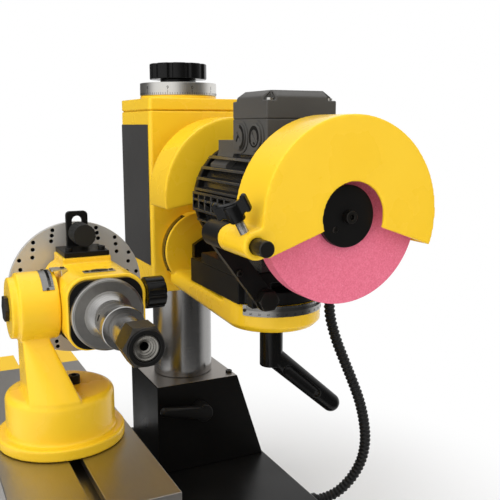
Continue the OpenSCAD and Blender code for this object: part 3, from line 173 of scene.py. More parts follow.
def make_skin():
    """Sprayed or cast surface: fine bumps, and slow changes of gloss and shade."""
    tree, given, out = surface_group("skin", "Grain", FLOAT)
    fine = noise(tree, given["Vector"], given["Grain"], 3.0)
    slow = noise(tree, given["Vector"], 14.0, 4.0)
    return close_group(tree, given, out, slow, fine, 0.0006)


def make_lines():
    """Cutter or grinding lines: noise drawn out by a stretch along each axis."""
    tree, given, out = surface_group("lines", "Stretch", VECTOR)
    drawn = add(tree, "ShaderNodeVectorMath", {0: given["Vector"], 1: given["Stretch"]}, operation="MULTIPLY")
    lines = noise(tree, drawn.outputs["Vector"], 1.0, 6.0, 0.7)
    return close_group(tree, given, out, lines, lines, 0.0003)


SKIN, LINES = make_skin(), make_lines()


def start_finish(name, metal=0.0, coat=0.0, shine=0.5):
    """A material with its Principled shader and its Object coordinates."""
    made = bpy.data.materials.new(name)
    made.use_nodes = True
    tree = made.node_tree
    shader = tree.nodes["Principled BSDF"]
    shader.inputs["Metallic"].default_value = metal
    shader.inputs["Specular IOR Level"].default_value = shine
    shader.inputs["Coat Weight"].default_value = coat
    shader.inputs["Coat Roughness"].default_value = 0.06
    place = add(tree, "ShaderNodeTexCoord").outputs["Object"]
    return made, tree, shader, place


def place_group(tree, group, place, **values):
    """A shared group in a material, with its own values."""
    return add(tree, "ShaderNodeGroup", {"Vector": place, **values}, node_tree=group)


def join(tree, shader, colour, group):
    """Links a colour, and a group's roughness and normal, to a shader."""
    tree.links.new(colour, shader.inputs["Base Color"])
    tree.links.new(group.outputs["Roughness"], shader.inputs["Roughness"])
    tree.links.new(group.outputs["Normal"], shader.inputs["Normal"])


def skin_finish(name, dark, light, grain, depth, low, high, **gloss):
    """Paint, plastic or cast metal."""
    made, tree, shader, place = start_finish(name, **gloss)
    skin = place_group(tree, SKIN, place, Grain=grain, Depth=depth, Low=low, High=high)
    join(tree, shader, shade_between(tree, skin.outputs["Shade"], dark, light), skin)
    return made


def line_finish(name, dark, light, stretch, depth, low, high, metal=1.0):
    """Turned, ground or milled metal."""
    made, tree, shader, place = start_finish(name, metal)
    lines = place_group(tree, LINES, place, Stretch=stretch, Depth=depth, Low=low, High=high)
    join(tree, shader, shade_between(tree, lines.outputs["Shade"], dark, light), lines)
    return made


def abrasive_finish():
    """Pink bonded abrasive: bright grains over a soft mottle."""
    made, tree, shader, place = start_finish("abrasive_pink", shine=0.2)
    grains = add(tree, "ShaderNodeTexVoronoi", {"Vector": place, "Scale": 1100.0}).outputs["Color"]
    mottle = noise(tree, place, 520.0, 4.0, 0.7)
    base = shade_between(tree, ranged(tree, mottle, 0.3, 0.7), (0.66, 0.125, 0.195), (0.82, 0.205, 0.30))
    tint = shade_between(tree, ranged(tree, grains, 0.82, 1.0, end=0.35), base, (0.9, 0.45, 0.5))
    tree.links.new(tint, shader.inputs["Base Color"])
    tree.links.new(bumps(tree, 0.4, 0.0005, mottle), shader.inputs["Normal"])
    shader.inputs["Roughness"].default_value = 0.92
    return made


def capped_finish(name, axis, edge, paints, metals, stretch, shine):
    """Paint that gives way to bare machined metal past a level along one axis."""
    made, tree, shader, place = start_finish(name, shine=shine)
    level = add(tree, "ShaderNodeSeparateXYZ", {"Vector": place}).outputs[axis]
    bare = maths(tree, "GREATER_THAN", level, edge * MM)
    skin = place_group(tree, SKIN, place, Grain=900, Depth=0.12, Low=0.26, High=0.38).outputs
    lines = place_group(tree, LINES, place, Stretch=stretch, Depth=0.12, Low=0.30, High=0.46).outputs
    paint = shade_between(tree, skin["Shade"], *paints)
    metal = shade_between(tree, lines["Shade"], *metals)
    rough = between(tree, bare, skin["Roughness"], lines["Roughness"])
    for value, socket in ((shade_between(tree, bare, paint, metal), "Base Color"), (bare, "Metallic"),
                          (rough, "Roughness"), (lines["Normal"], "Normal")):
        tree.links.new(value, shader.inputs[socket])
    return made


def grey(level):
    """A colour with no tint."""
    return (level,) * 3


# Each finish: its dark and light shade, its grain or stretch, its bumps, and its least and most roughness
YELLOWS = (0.88, 0.535, 0.016), (0.93, 0.595, 0.024)
BLACKS = (0.0042, 0.0041, 0.0039), (0.0085, 0.0081, 0.0076)
YELLOW = skin_finish("yellow_enamel", *YELLOWS, 700, 0.10, 0.22, 0.32, coat=0.3, shine=0.3)
BLACK = skin_finish("black_enamel", *BLACKS, 900, 0.16, 0.26, 0.40, shine=0.2)
GLOSS = skin_finish("black_gloss", grey(0.003), grey(0.0055), 600, 0.06, 0.08, 0.16, shine=0.2)
FINNED = skin_finish("motor_enamel", (0.018, 0.0174, 0.0166), (0.031, 0.030, 0.0284), 800, 0.14, 0.18, 0.30,
                     shine=0.7)
GREY = skin_finish("box_grey", (0.060, 0.057, 0.053), (0.082, 0.079, 0.073), 1500, 0.22, 0.42, 0.56,
                   shine=0.22)
PANEL = skin_finish("panel_graphite", (0.040, 0.039, 0.038), (0.052, 0.051, 0.050), 1200, 0.08, 0.40, 0.50,
                    shine=0.2)
RIBBED = skin_finish("conduit_black", grey(0.006), grey(0.012), 1200, 0.12, 0.36, 0.5, shine=0.3)
OXIDE = skin_finish("black_oxide", (0.030, 0.028, 0.025), (0.062, 0.057, 0.050), 1400, 0.15, 0.24, 0.38,
                    metal=0.9)
RUBBER = skin_finish("knurled_black", grey(0.009), (0.017, 0.017, 0.016), 1600, 0.30, 0.5, 0.65, shine=0.25)
# Ink for printed lines and numbers, also used as painted shade in slots, holes and plug recesses
INK_AND_SHADE = skin_finish("ink_and_painted_shade", grey(0.006), grey(0.011), 900, 0.05, 0.5, 0.6, shine=0.1)
GROUND = line_finish("ground_steel", (0.19, 0.185, 0.18), (0.42, 0.412, 0.403), (45, 45, 2600),
                     0.04, 0.15, 0.26)
TURNED = line_finish("turned_steel", (0.36, 0.353, 0.341), (0.66, 0.648, 0.63), (2600, 8, 8),
                     0.05, 0.20, 0.30)
FACED = line_finish("faced_steel", (0.40, 0.39, 0.368), (0.56, 0.548, 0.52), (900, 260, 260),
                    0.06, 0.34, 0.48)
RINGED = line_finish("ringed_steel", (0.20, 0.19, 0.17), (0.34, 0.325, 0.295), (2600, 60, 60),
                     0.05, 0.22, 0.32)
DISC = line_finish("disc_steel", (0.47, 0.46, 0.435), (0.60, 0.588, 0.56), (120, 700, 700),
                   0.05, 0.34, 0.48, metal=0.35)
SILVER = line_finish("scale_silver", (0.62, 0.608, 0.58), (0.82, 0.81, 0.78), (900, 900, 60),
                     0.03, 0.28, 0.38)
CHROME = line_finish("scale_chrome", (0.22, 0.215, 0.205), (0.38, 0.37, 0.355), (300, 300, 900),
                     0.02, 0.07, 0.14)
BRONZE = line_finish("bearing_bronze", (0.36, 0.21, 0.075), (0.52, 0.33, 0.14), (40, 40, 2400),
                     0.06, 0.24, 0.38)
PINK = abrasive_finish()
PEDESTAL = capped_finish("pedestal_paint", "Z", 231.7, BLACKS, ((0.22, 0.20, 0.18), (0.50, 0.465, 0.43)),
                         (1500, 60, 60), 0.06)
TABLE = capped_finish("table_paint", "X", -150, YELLOWS, ((0.34, 0.32, 0.295), (0.50, 0.475, 0.44)),
                      (60, 1500, 60), 0.35)


# Meshes and objects

def new_object(name, data):
    """An object in the scene."""
    made = bpy.data.objects.new(name, data)
    bpy.context.scene.collection.objects.link(made)
    return made


def settled(holder):
    """The mesh that an object comes to with its modifiers; the object is then removed."""
    bpy.context.view_layer.update()
    ready = holder.evaluated_get(bpy.context.evaluated_depsgraph_get())
    mesh = bpy.data.meshes.new_from_object(ready)
    bpy.data.objects.remove(holder)
    return mesh


def to_mesh(shape, name):
    """A mesh from a BMesh, which is then freed."""
    made = bpy.data.meshes.new(name)
    shape.to_mesh(made)
    shape.free()
    return made


def finish_mesh(mesh, finish, sharp):
    """Sets a mesh's finish and shading, with its flats kept flat."""
    mesh.materials.clear()
    mesh.materials.append(finish)
    mesh.polygons.foreach_set("use_smooth", [True] * len(mesh.polygons))
    mesh.set_sharp_from_angle(angle=math.radians(sharp))


def show(name, shape, body, finish, replaces=(), sharp=SHARP):
    """An object for a Shape or a mesh, on its body, standing for the CAD nodes that it replaces."""
    mesh = shape.mesh(name) if isinstance(shape, Shape) else shape
    finish_mesh(mesh, finish, sharp)
    made = new_object(name, mesh)
    even = made.modifiers.new("even", "WEIGHTED_NORMAL")
    even.keep_sharp = True
    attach(made, body)
    if replaces:
        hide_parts(*replaces)


def stand_in(node, shape, finish, sharp=SHARP):
    """A Shape or a mesh that stands for a CAD node, on the node's body and with the finish given."""
    show(node + "_skin", shape, BODY_OF[node], finish, (node,), sharp)


def dress(finish, *nodes):
    """Gives CAD nodes that keep their own shape their finish."""
    for node in nodes:
        for slot in frame["nodes"][node].material_slots:
            slot.material = finish


def welded(node):
    """A CAD node's shape as a BMesh, with its doubled corners joined."""
    shape = bmesh.new()
    shape.from_mesh(frame["nodes"][node].data)
    bmesh.ops.remove_doubles(shape, verts=shape.verts, dist=MERGE)
    return shape


def cast(node, finish, grain, rounds):
    """A copy of a CAD node with the soft corners of a casting, which stands for the node."""
    holder = new_object("holder", to_mesh(welded(node), "rough"))
    grid = holder.modifiers.new("grid", "REMESH")
    grid.mode = "VOXEL"
    grid.voxel_size = grain * MM
    soft = holder.modifiers.new("soft", "SMOOTH")
    soft.factor = 0.5
    soft.iterations = rounds
    stand_in(node, settled(holder), finish)


def soften(node, finish, width):
    """A copy of a CAD node with its edges rounded, which stands for the node."""
    shape = welded(node)
    bmesh.ops.dissolve_limit(shape, angle_limit=math.radians(0.4), verts=shape.verts, edges=shape.edges)
    edges = [e for e in shape.edges if len(e.link_faces) == 2 and e.calc_face_angle(0) > math.radians(SHARP)]
    bmesh.ops.bevel(shape, geom=edges, offset=width * MM, segments=3, profile=0.5, affect="EDGES",
                    clamp_overlap=False)
    stand_in(node, to_mesh(shape, node + "_skin"), finish)


class Shape:
    """Gathers turned and flat forms in millimetres into one mesh."""

    def __init__(self):
        self.bm = bmesh.new()

    def _settle(self, verts, at, axis, turn=0):
        lean = axis
        if not isinstance(axis, Matrix):
            lean = Vector(Z).rotation_difference(Vector(axis)).to_matrix().to_4x4()
        place = Matrix.Translation(at) @ lean @ Matrix.Rotation(math.radians(turn), 4, "Z")
        bmesh.ops.transform(self.bm, matrix=place, verts=verts)

    def turned(self, outline, at=(0, 0, 0), axis=Z, steps=48, closed=False):
        """A form turned about an axis from (radius, height) pairs; closed joins the last pair to the first.

        A third word, "hex", makes that ring six-sided, and a fourth number lets its corners fall away by
        that slope.
        """
        rings = []
        for radius, height, *kind in outline:
            if radius == 0:
                rings.append([self.bm.verts.new((0, 0, height))])
                continue
            ring = []
            for k in range(steps):
                a = 2 * math.pi * k / steps
                wide = radius / math.cos((a + math.pi / 6) % (math.pi / 3) - math.pi / 6) if kind else radius
                fall = (wide - radius) * kind[1] if len(kind) > 1 else 0
                ring.append(self.bm.verts.new((wide * math.cos(a), wide * math.sin(a), height - fall)))
            rings.append(ring)
        pairs = list(zip(rings, rings[1:]))
        if closed:
            pairs.append((rings[-1], rings[0]))
        for low, high in pairs:
            for k in range(steps):
                n = (k + 1) % steps
                corners = [low[k % len(low)], low[n % len(low)], high[n % len(high)], high[k % len(high)]]
                face = list(dict.fromkeys(corners))
                if len(face) > 2:
                    self.bm.faces.new(face)
        self._settle([v for ring in rings for v in ring], at, axis)
        return self

    def plate(self, outline, thick, at=(0, 0, 0), axis=Z, turn=0, soft=0.0):
        """A flat form: an outline in its own plane, raised along the axis, with softened edges."""
        low = [self.bm.verts.new((x, y, 0)) for x, y in outline]
        high = [self.bm.verts.new((x, y, thick)) for x, y in outline]
        faces = [self.bm.faces.new(low[::-1]), self.bm.faces.new(high)]
        for k in range(len(low)):
            n = (k + 1) % len(low)
            faces.append(self.bm.faces.new((low[k], low[n], high[n], high[k])))
        verts = low + high
        if soft:
            edges = list({e for f in faces for e in f.edges if e.calc_face_angle(0) > math.radians(30)})
            cut = bmesh.ops.bevel(self.bm, geom=edges, offset=soft, segments=2, profile=0.5, affect="EDGES",
                                  clamp_overlap=True)
            verts = list({v for v in verts if v.is_valid} | set(cut["verts"])
                         | {v for f in faces if f.is_valid for v in f.verts})
        self._settle(verts, at, axis, turn)
        return self

    def bent(self, inner, outer, low, high, start, sweep, at, axis, steps=24):
        """A strip bent round an axis: its radii, its edges along the axis, and its arc in degrees."""
        sections = []
        for k in range(steps + 1):
            a = math.radians(start + sweep * k / steps)
            corners = ((inner, low), (outer, low), (outer, high), (inner, high))
            sections.append([self.bm.verts.new((r * math.cos(a), r * math.sin(a), h)) for r, h in corners])
        if sweep < 360:
            self.bm.faces.new(sections[0])
            self.bm.faces.new(sections[-1][::-1])
        for one, two in zip(sections, sections[1:]):
            for k in range(4):
                n = (k + 1) % 4
                self.bm.faces.new((one[k], one[n], two[n], two[k]))
        self._settle([v for section in sections for v in section], at, axis)
        return self

    def mesh(self, name):
        """The finished mesh, in metres, with its faces pointing outwards."""
        bmesh.ops.remove_doubles(self.bm, verts=self.bm.verts, dist=1e-4)
        bmesh.ops.recalc_face_normals(self.bm, faces=self.bm.faces)
        bmesh.ops.scale(self.bm, vec=(MM, MM, MM), verts=self.bm.verts)
        return to_mesh(self.bm, name)


def rectangle(wide, high, radius):
    """A rectangle about the origin with round corners."""
    steps = 5
    points = []
    for corner, (sx, sy) in enumerate(((1, 1), (-1, 1), (-1, -1), (1, -1))):
        for k in range(steps + 1):
            a = math.radians(90 * corner + 90 * k / steps)
            points.append((sx * (wide / 2 - radius) + radius * math.cos(a),
                           sy * (high / 2 - radius) + radius * math.sin(a)))
    return points


# Geometry Nodes trees for what repeats

def geometry_tree(name, **inputs):
    """A geometry tree that is empty but for its sockets; returns it, its inputs and its outputs."""
    tree = bpy.data.node_groups.new(name, "GeometryNodeTree")
    for label, kind in {"Geometry": "NodeSocketGeometry", **inputs, "Finish": MATERIAL}.items():
        tree.interface.new_socket(label, in_out="INPUT", socket_type=kind)
    tree.interface.new_socket("Geometry", in_out="OUTPUT", socket_type="NodeSocketGeometry")
    return tree, add(tree, "NodeGroupInput").outputs, add(tree, "NodeGroupOutput").inputs


def close_tree(tree, geometry, given, out):
    """Ends a tree in plain geometry with its finish."""
    plain = add(tree, "GeometryNodeRealizeInstances", {"Geometry": geometry}).outputs[0]
    dressed = add(tree, "GeometryNodeSetMaterial", {"Geometry": plain, "Material": given["Finish"]})
    tree.links.new(dressed.outputs[0], out["Geometry"])
    return tree


def grow_tree(tree, base, values):
    """The plain mesh that a tree makes from a base mesh and its inputs' values."""
    holder = new_object("holder", base)
    grown = holder.modifiers.new("grown", "NODES")
    grown.node_group = tree
    for item in tree.interface.items_tree:
        if item.item_type == "SOCKET" and item.in_out == "INPUT" and item.name in values:
            grown[item.identifier] = values[item.name]
    return settled(holder)


def make_tick_tree():
    """Graduations round an arc about Z: every so many is long."""
    tree, given, out = geometry_tree("graduations", Count=INT, Radius=FLOAT, Start=FLOAT, Step=FLOAT,
                                     Long=FLOAT, Short=FLOAT, Every=INT, Wide=FLOAT, Deep=FLOAT)
    row = add(tree, "GeometryNodeMeshLine", {"Count": given["Count"], "Offset": (0.001, 0, 0)}).outputs[0]
    index = add(tree, "GeometryNodeInputIndex").outputs[0]
    angle = maths(tree, "MULTIPLY_ADD", index, given["Step"], given["Start"])
    across, along = maths(tree, "COSINE", angle), maths(tree, "SINE", angle)
    way = add(tree, "ShaderNodeCombineXYZ", {"X": across, "Y": along})
    spot = add(tree, "ShaderNodeVectorMath", {0: way.outputs[0], "Scale": given["Radius"]}, operation="SCALE")
    placed = add(tree, "GeometryNodeSetPosition", {"Geometry": row, "Position": spot.outputs[0]})
    main = maths(tree, "LESS_THAN", maths(tree, "MODULO", index, given["Every"]), 0.5)
    reach = between(tree, main, given["Short"], given["Long"])
    size = add(tree, "ShaderNodeCombineXYZ", {"X": given["Deep"], "Y": given["Wide"], "Z": reach})
    turn = add(tree, "ShaderNodeCombineXYZ", {"Z": angle})
    bar = add(tree, "GeometryNodeMeshCube", {"Size": (1, 1, 1)})
    raised = add(tree, "GeometryNodeTransform", {"Geometry": bar.outputs[0], "Translation": (0, 0, 0.5)})
    ticks = add(tree, "GeometryNodeInstanceOnPoints", {
        "Points": placed.outputs[0], "Instance": raised.outputs[0], "Rotation": turn.outputs[0],
        "Scale": size.outputs[0]})
    return close_tree(tree, ticks.outputs[0], given, out)


def make_scatter_tree():
    """One shape set at every point of a base mesh, all turned the same way."""
    tree, given, out = geometry_tree("set_at_points", Shape=OBJECT, Turn=VECTOR)
    shape = add(tree, "GeometryNodeObjectInfo", {"Object": given["Shape"]})
    copies = add(tree, "GeometryNodeInstanceOnPoints", {
        "Points": given["Geometry"], "Instance": shape.outputs["Geometry"], "Rotation": given["Turn"]})
    return close_tree(tree, copies.outputs[0], given, out)


def make_conduit_tree():
    """A ribbed tube along a base line: its wall swells and narrows once each pitch."""
    tree, given, out = geometry_tree("ribbed_tube", Radius=FLOAT, Groove=FLOAT, Pitch=FLOAT, Step=FLOAT,
                                     Shift=FLOAT)
    line = add(tree, "GeometryNodeMeshToCurve", {"Mesh": given["Geometry"]}).outputs[0]
    even = add(tree, "GeometryNodeResampleCurve", {"Curve": line, "Length": given["Step"]}, mode="LENGTH")
    run = add(tree, "GeometryNodeSplineParameter").outputs["Length"]
    turns = maths(tree, "DIVIDE", maths(tree, "ADD", run, given["Shift"]), given["Pitch"])
    wave = maths(tree, "COSINE", maths(tree, "MULTIPLY", turns, 2 * math.pi))
    sunk = maths(tree, "MULTIPLY", ranged(tree, wave, -1.0, 1.0, smooth=True), given["Groove"])
    wall = maths(tree, "SUBTRACT", given["Radius"], sunk)
    ring = add(tree, "GeometryNodeCurvePrimitiveCircle", {"Resolution": 20, "Radius": 1.0})
    tube = add(tree, "GeometryNodeCurveToMesh", {"Curve": even.outputs[0], "Profile Curve": ring.outputs[0],
                                                 "Scale": wall, "Fill Caps": True})
    return close_tree(tree, tube.outputs[0], given, out)


TICKS, SCATTER, TUBE = make_tick_tree(), make_scatter_tree(), make_conduit_tree()


def graduations(name, body, count, radius, start, sweep, long, short, every, wide, axis, at):
    """Graduation lines round an axis, standing a hair proud of their scale."""
    mesh = grow_tree(TICKS, bpy.data.meshes.new("none"), {
        "Count": count, "Radius": radius * MM, "Start": math.radians(start),
        "Step": math.radians(sweep) / (count - 1), "Long": long * MM, "Short": short * MM, "Every": every,
        "Wide": wide * MM, "Deep": 0.0003, "Finish": INK_AND_SHADE})
    mesh.transform(Matrix.Translation(Vector(at) * MM) @ axis)
    show(name, mesh, body, INK_AND_SHADE)


def set_out(name, body, shape, places, direction, finish, turn=0.0):
    """The same small shape at several places, all facing one way."""
    template = new_object("template", shape.mesh("template"))
    base = bpy.data.meshes.new("places")
    base.from_pydata([Vector(p) * MM for p in places], [], [])
    spin = Matrix.Rotation(math.radians(turn), 3, "Z").to_quaternion()
    lean = Vector(Z).rotation_difference(Vector(direction)) @ spin
    mesh = grow_tree(SCATTER, base, {"Shape": template, "Turn": Vector(lean.to_euler()), "Finish": finish})
    bpy.data.objects.remove(template)
    show(name, mesh, body, finish)


# Camera, floor and light

LAMPS = (  # name, place, what it points at and size in metres, and power in watts
    ("key", (0.75, -1.9, 1.7), (0.1, 0, 0.45), 2.6, 54),
    ("fill", (2.1, 0.9, 1.2), (0.1, 0.1, 0.45), 2.2, 17),
    ("top", (-0.1, 0.3, 2.2), (0.05, 0.05, 0.4), 2.4, 22))


def place_camera():
    """The photograph's camera: where it stands, where it looks, and its lens."""
    look, right = Vector((-0.8857, 0.4320, -0.1702)), Vector((0.4384, 0.8988, 0))
    up = Vector((-0.1530, 0.0746, 0.9854))
    made = new_object("camera", bpy.data.cameras.new("camera"))
    made.matrix_world = Matrix.Translation((0.9208, -0.2706, 0.6105)) @ axes(right, up, -look)
    made.data.lens = 51.84
    made.data.sensor_width = 36
    made.data.clip_start = 0.01
    bpy.context.scene.camera = made


def seen_directly(tree):
    """A mask that is 1 for what the camera, a reflection or a clear piece sees, and one for reflections."""
    path = add(tree, "ShaderNodeLightPath").outputs
    seen = maths(tree, "MAXIMUM", path["Is Camera Ray"], path["Is Glossy Ray"])
    return maths(tree, "MAXIMUM", seen, path["Is Transmission Ray"]), path["Is Glossy Ray"]


def studio_side(tree, way):
    """How bright the studio is in a reflection, by the side that it looks to."""
    parts = add(tree, "ShaderNodeSeparateXYZ", {"Vector": way}).outputs
    round_about = maths(tree, "ARCTAN2", parts["Y"], parts["X"])
    wave = maths(tree, "COSINE", maths(tree, "MULTIPLY_ADD", round_about, 2.0, math.radians(-52)))
    return ranged(tree, wave, -0.6, 0.7, 1.0, 0.10, smooth=True)


def lay_floor():
    """A pale floor that keeps the shadow near the object and runs out to plain white."""
    made = bpy.data.materials.new("pale_floor")
    made.use_nodes = True
    tree = made.node_tree
    matt = tree.nodes["Principled BSDF"]
    matt.inputs["Base Color"].default_value = (*grey(0.86), 1)
    matt.inputs["Roughness"].default_value = 0.9
    place = add(tree, "ShaderNodeTexCoord").outputs["Object"]
    far = add(tree, "ShaderNodeVectorMath", {0: place}, operation="LENGTH").outputs["Value"]
    seen, glossy = seen_directly(tree)
    amount = maths(tree, "MULTIPLY", ranged(tree, far, 0.35, 0.75, smooth=True), seen)
    level = between(tree, glossy, 1.0, studio_side(tree, place))
    white = add(tree, "ShaderNodeEmission", {"Color": WHITE, "Strength": level})
    mix = add(tree, "ShaderNodeMixShader", {0: amount, 1: matt.outputs[0], 2: white.outputs[0]})
    tree.links.new(mix.outputs[0], tree.nodes["Material Output"].inputs["Surface"])
    shape = bmesh.new()
    bmesh.ops.create_grid(shape, x_segments=8, y_segments=8, size=6)
    mesh = to_mesh(shape, "floor")
    mesh.materials.append(made)
    floor = new_object("floor", mesh)


def light_studio():
    """Plain soft light: an even world and three wide lamps.

    Reflections see the studio and no lamp: it is white overhead, and white and grey by turns round about.
    """
    world = bpy.data.worlds.new("studio")
    bpy.context.scene.world = world
    world.use_nodes = True
    tree = world.node_tree
    even = tree.nodes["Background"]
    even.inputs["Color"].default_value = WHITE
    even.inputs["Strength"].default_value = 0.42
    way = add(tree, "ShaderNodeTexCoord").outputs["Generated"]
    height = add(tree, "ShaderNodeSeparateXYZ", {"Vector": way}).outputs["Z"]
    band = between(tree, ranged(tree, height, 0.35, 0.8), studio_side(tree, way), 1.0)
    seen, glossy = seen_directly(tree)
    level = between(tree, glossy, 1.0, band)
    white = add(tree, "ShaderNodeBackground", {"Color": WHITE, "Strength": level})
    mix = add(tree, "ShaderNodeMixShader", {0: seen, 1: even.outputs[0], 2: white.outputs[0]})
    tree.links.new(mix.outputs[0], tree.nodes["World Output"].inputs["Surface"])
    for name, at, target, size, power in LAMPS:
        lamp = new_object(name, bpy.data.lights.new(name, "AREA"))
        lamp.data.size = size
        lamp.data.energy = power
        lamp.visible_glossy = False
        lamp.location = at
        lamp.rotation_euler = (Vector(at) - Vector(target)).to_track_quat("Z", "Y").to_euler()
    bpy.context.scene.view_settings.view_transform = "Standard"


# Conduit

ROUTE = [(155, 198.3, 597), (155, 214, 597), (153, 236, 594), (147, 256, 585), (138, 272, 570),
         (127, 282, 551), (115, 285, 528), (105, 284, 502), (97, 279, 474), (91, 272, 444), (87, 265, 412),
         (85, 261, 380), (86, 262, 348), (90, 269, 316), (95, 280, 284), (100, 292, 252), (104, 303, 220),
         (105, 311, 188), (104, 315, 158), (101, 313, 130), (96, 305, 106), (91, 292, 87), (87, 277, 75),
         (85, 260, 70), (85, 244.3, 70)]
RIBS = {"Radius": 0.0079, "Groove": 0.0014, "Pitch": 0.0064, "Step": 0.0008}  # in metres
CUTS = (0, 230, 392, 554)  # how far along the route each length begins
CROSSED = (("base", "column"), ("column", "sleeve"), ("sleeve", "arm"), ("arm", "head"))


def route_points(step=2.0):
    """Points close together along the smooth route, from the base up to the terminal box."""
    knots = [Vector(p) for p in reversed(ROUTE)]
    points = []
    for i in range(len(knots) - 1):
        p, q, r, s = knots[max(i - 1, 0)], knots[i], knots[i + 1], knots[min(i + 2, len(knots) - 1)]
        count = math.ceil((r - q).length / step)
        for k in range(count):
            t = k / count
            points.append(0.5 * (2 * q + (r - p) * t + (2 * p - 5 * q + 4 * r - s) * t ** 2
                                 + (3 * q - p - 3 * r + s) * t ** 3))
    return points + [knots[-1]]


def hang_conduit():
    """The ribbed conduit in four lengths, each across one of the joints between the base and the head."""
    points = route_points()
    runs = [0.0]
    for a, b in zip(points, points[1:]):
        runs.append(runs[-1] + (b - a).length)
    for number, (low, high, bodies) in enumerate(zip(CUTS, (*CUTS[1:], runs[-1]), CROSSED), 1):
        ends = [min(range(len(runs)), key=lambda k, at=at: abs(runs[k] - at)) for at in (low, high)]
        piece = [p * MM for p in points[ends[0]:ends[1] + 1]]
        base = bpy.data.meshes.new("route")
        base.from_pydata(piece, [(k, k + 1) for k in range(len(piece) - 1)], [])
        mesh = grow_tree(TUBE, base, {**RIBS, "Shift": runs[ends[0]] * MM, "Finish": RIBBED})
        finish_mesh(mesh, RIBBED, 180)
        made = new_object(f"conduit_run_{number}", mesh)
        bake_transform(made)
        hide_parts("conduit")


# Small fittings

def socket_screw(radius, height, drive):
    """A cap screw with a hexagon socket."""
    soft, floor = radius * 0.14, height * 0.35
    return Shape().turned([(0, floor), (drive, floor, "hex"), (drive, height, "hex"), (radius - soft, height),
                           (radius, height - soft), (radius, -0.5), (0, -0.5)], steps=36)


def slotted_screw(radius, height, slot):
    """A low round screw with a straight slot."""
    half = height * 0.5
    made = Shape().turned([(0, half), (radius, half), (radius, -0.5), (0, -0.5)], steps=32)
    opening = math.asin(slot / 2 / radius)
    for side in (0, 180):
        arc = [math.radians(side) + opening + (math.pi - 2 * opening) * k / 14 for k in range(15)]
        made.plate([(radius * math.cos(a), radius * math.sin(a)) for a in arc], half, (0, 0, half),
                   soft=height * 0.18)
    return made


def numerals(name, body, marks, size, place):
    """Plain numbers round a scale; place turns an angle and a height into a matrix."""
    whole = bmesh.new()
    for text, angle, height in marks:
        curve = bpy.data.curves.new("digits", "FONT")
        curve.body = text
        curve.size = size * MM
        curve.align_x = "CENTER"
        curve.extrude = 0.00012
        curve.resolution_u = 3
        mesh = settled(new_object("digits", curve))
        mesh.transform(place(angle, height))
        whole.from_mesh(mesh)
        bpy.data.meshes.remove(mesh)
    bmesh.ops.remove_doubles(whole, verts=whole.verts, dist=1e-6)
    bmesh.ops.recalc_face_normals(whole, faces=whole.faces)
    show(name, to_mesh(whole, name), body, INK_AND_SHADE)


def round_face(center, radius):
    """Where a number sits: upright on a turned face about Z."""
    def place(angle, height):
        out = spoke(angle)
        spot = Vector((*center, height)) + out * radius
        return Matrix.Translation(spot * MM) @ axes(spoke(angle + 90), Vector(Z), out)
    return place


# Pieces of the machine, body by body

def dress_inside():
    """Finishes of the pieces that stay inside or keep their CAD shape."""
    dress(OXIDE, "base_plate", "stator", "rotor_core", "tilt_stud", "head_stud")
    dress(TURNED, "lift_screw", "motor_shaft", "motor_bearings", "cross_screw", "table_screw")
    dress(BRONZE, "lift_nut")
    dress(RIBBED, "conduit")
    dress(CHROME, "arm_scales")


def soften_castings():
    """Cast, machined and moulded pieces with their rounded edges."""
    for node, grain, rounds in (("knee_arm", 1.3, 7), ("work_base", 1.4, 7), ("work_housing", 1.1, 6),
                                ("front_guard", 1.6, 6), ("rear_guard", 1.6, 6)):
        cast(node, YELLOW, grain, rounds)
    for finish, width, nodes in (
            (BLACK, 3.0, ("base",)),
            (PEDESTAL, 2.0, ("pedestal",)),
            (GLOSS, 0.7, ("base_gland", "box_gland")),
            (BLACK, 1.5, ("column_lever", "swivel_block", "end_shields")),
            (GLOSS, 1.2, ("head_lever",)),
            (GROUND, 1.0, ("post",)),
            (YELLOW, 2.5, ("sleeve",)),
            (YELLOW, 1.2, ("sleeve_cap",)),
            (SILVER, 0.6, ("lift_dial",)),
            (GLOSS, 1.5, ("lift_knob", "work_knob")),
            (BLACK, 1.2, ("motor_plate",)),
            (FINNED, 0.8, ("motor_body",)),
            (GREY, 1.6, ("terminal_box", "terminal_lid")),
            (GREY, 0.8, ("entry_plugs",)),
            (BLACK, 1.2, ("guard_arm",)),
            (OXIDE, 1.4, ("guard_rod",)),
            (OXIDE, 0.8, ("tilt_nut",)),
            (PINK, 0.8, ("front_wheel", "rear_wheel")),
            (BLACK, 0.9, ("wheel_flanges",)),
            (OXIDE, 0.7, ("wheel_screws",)),
            (GLOSS, 1.6, ("wing_knob",)),
            (YELLOW, 2.0, ("saddle",)),
            (GLOSS, 1.0, ("cross_handwheel", "table_handwheel")),
            (TABLE, 1.0, ("table",)),
            (BLACK, 1.0, ("index_bracket",)),
            (FACED, 1.4, ("nose_ring",)),
            (FACED, 0.3, ("zero_plate",)),
            (DISC, 0.5, ("index_disc",)),
            (RUBBER, 0.5, ("index_plunger",))):
        for node in nodes:
            soften(node, finish, width)


def panel_on_sleeve():
    """The bare dark plate on the sleeve's operator side."""
    plate = Shape().plate(rectangle(125, 198, 2), 0.9, (-109.5, 44.6, 513), FRONT, soft=0.35)
    show("sleeve_panel", plate, "sleeve", PANEL)


def graduate_dial():
    """The lift dial's hundred lines and its ten numbers."""
    face, low, middle = 56.0, 653.9, 661.5
    graduations("dial_lines", "lift_dial", 100, face, 0, 356.4, 6.5, 3.2, 10, 0.45, UPRIGHT, (*POST, low))
    marks = [(str(k), 36 * k, middle) for k in range(10)]
    numerals("dial_numbers", "lift_dial", marks, 6.5, round_face(POST, face))


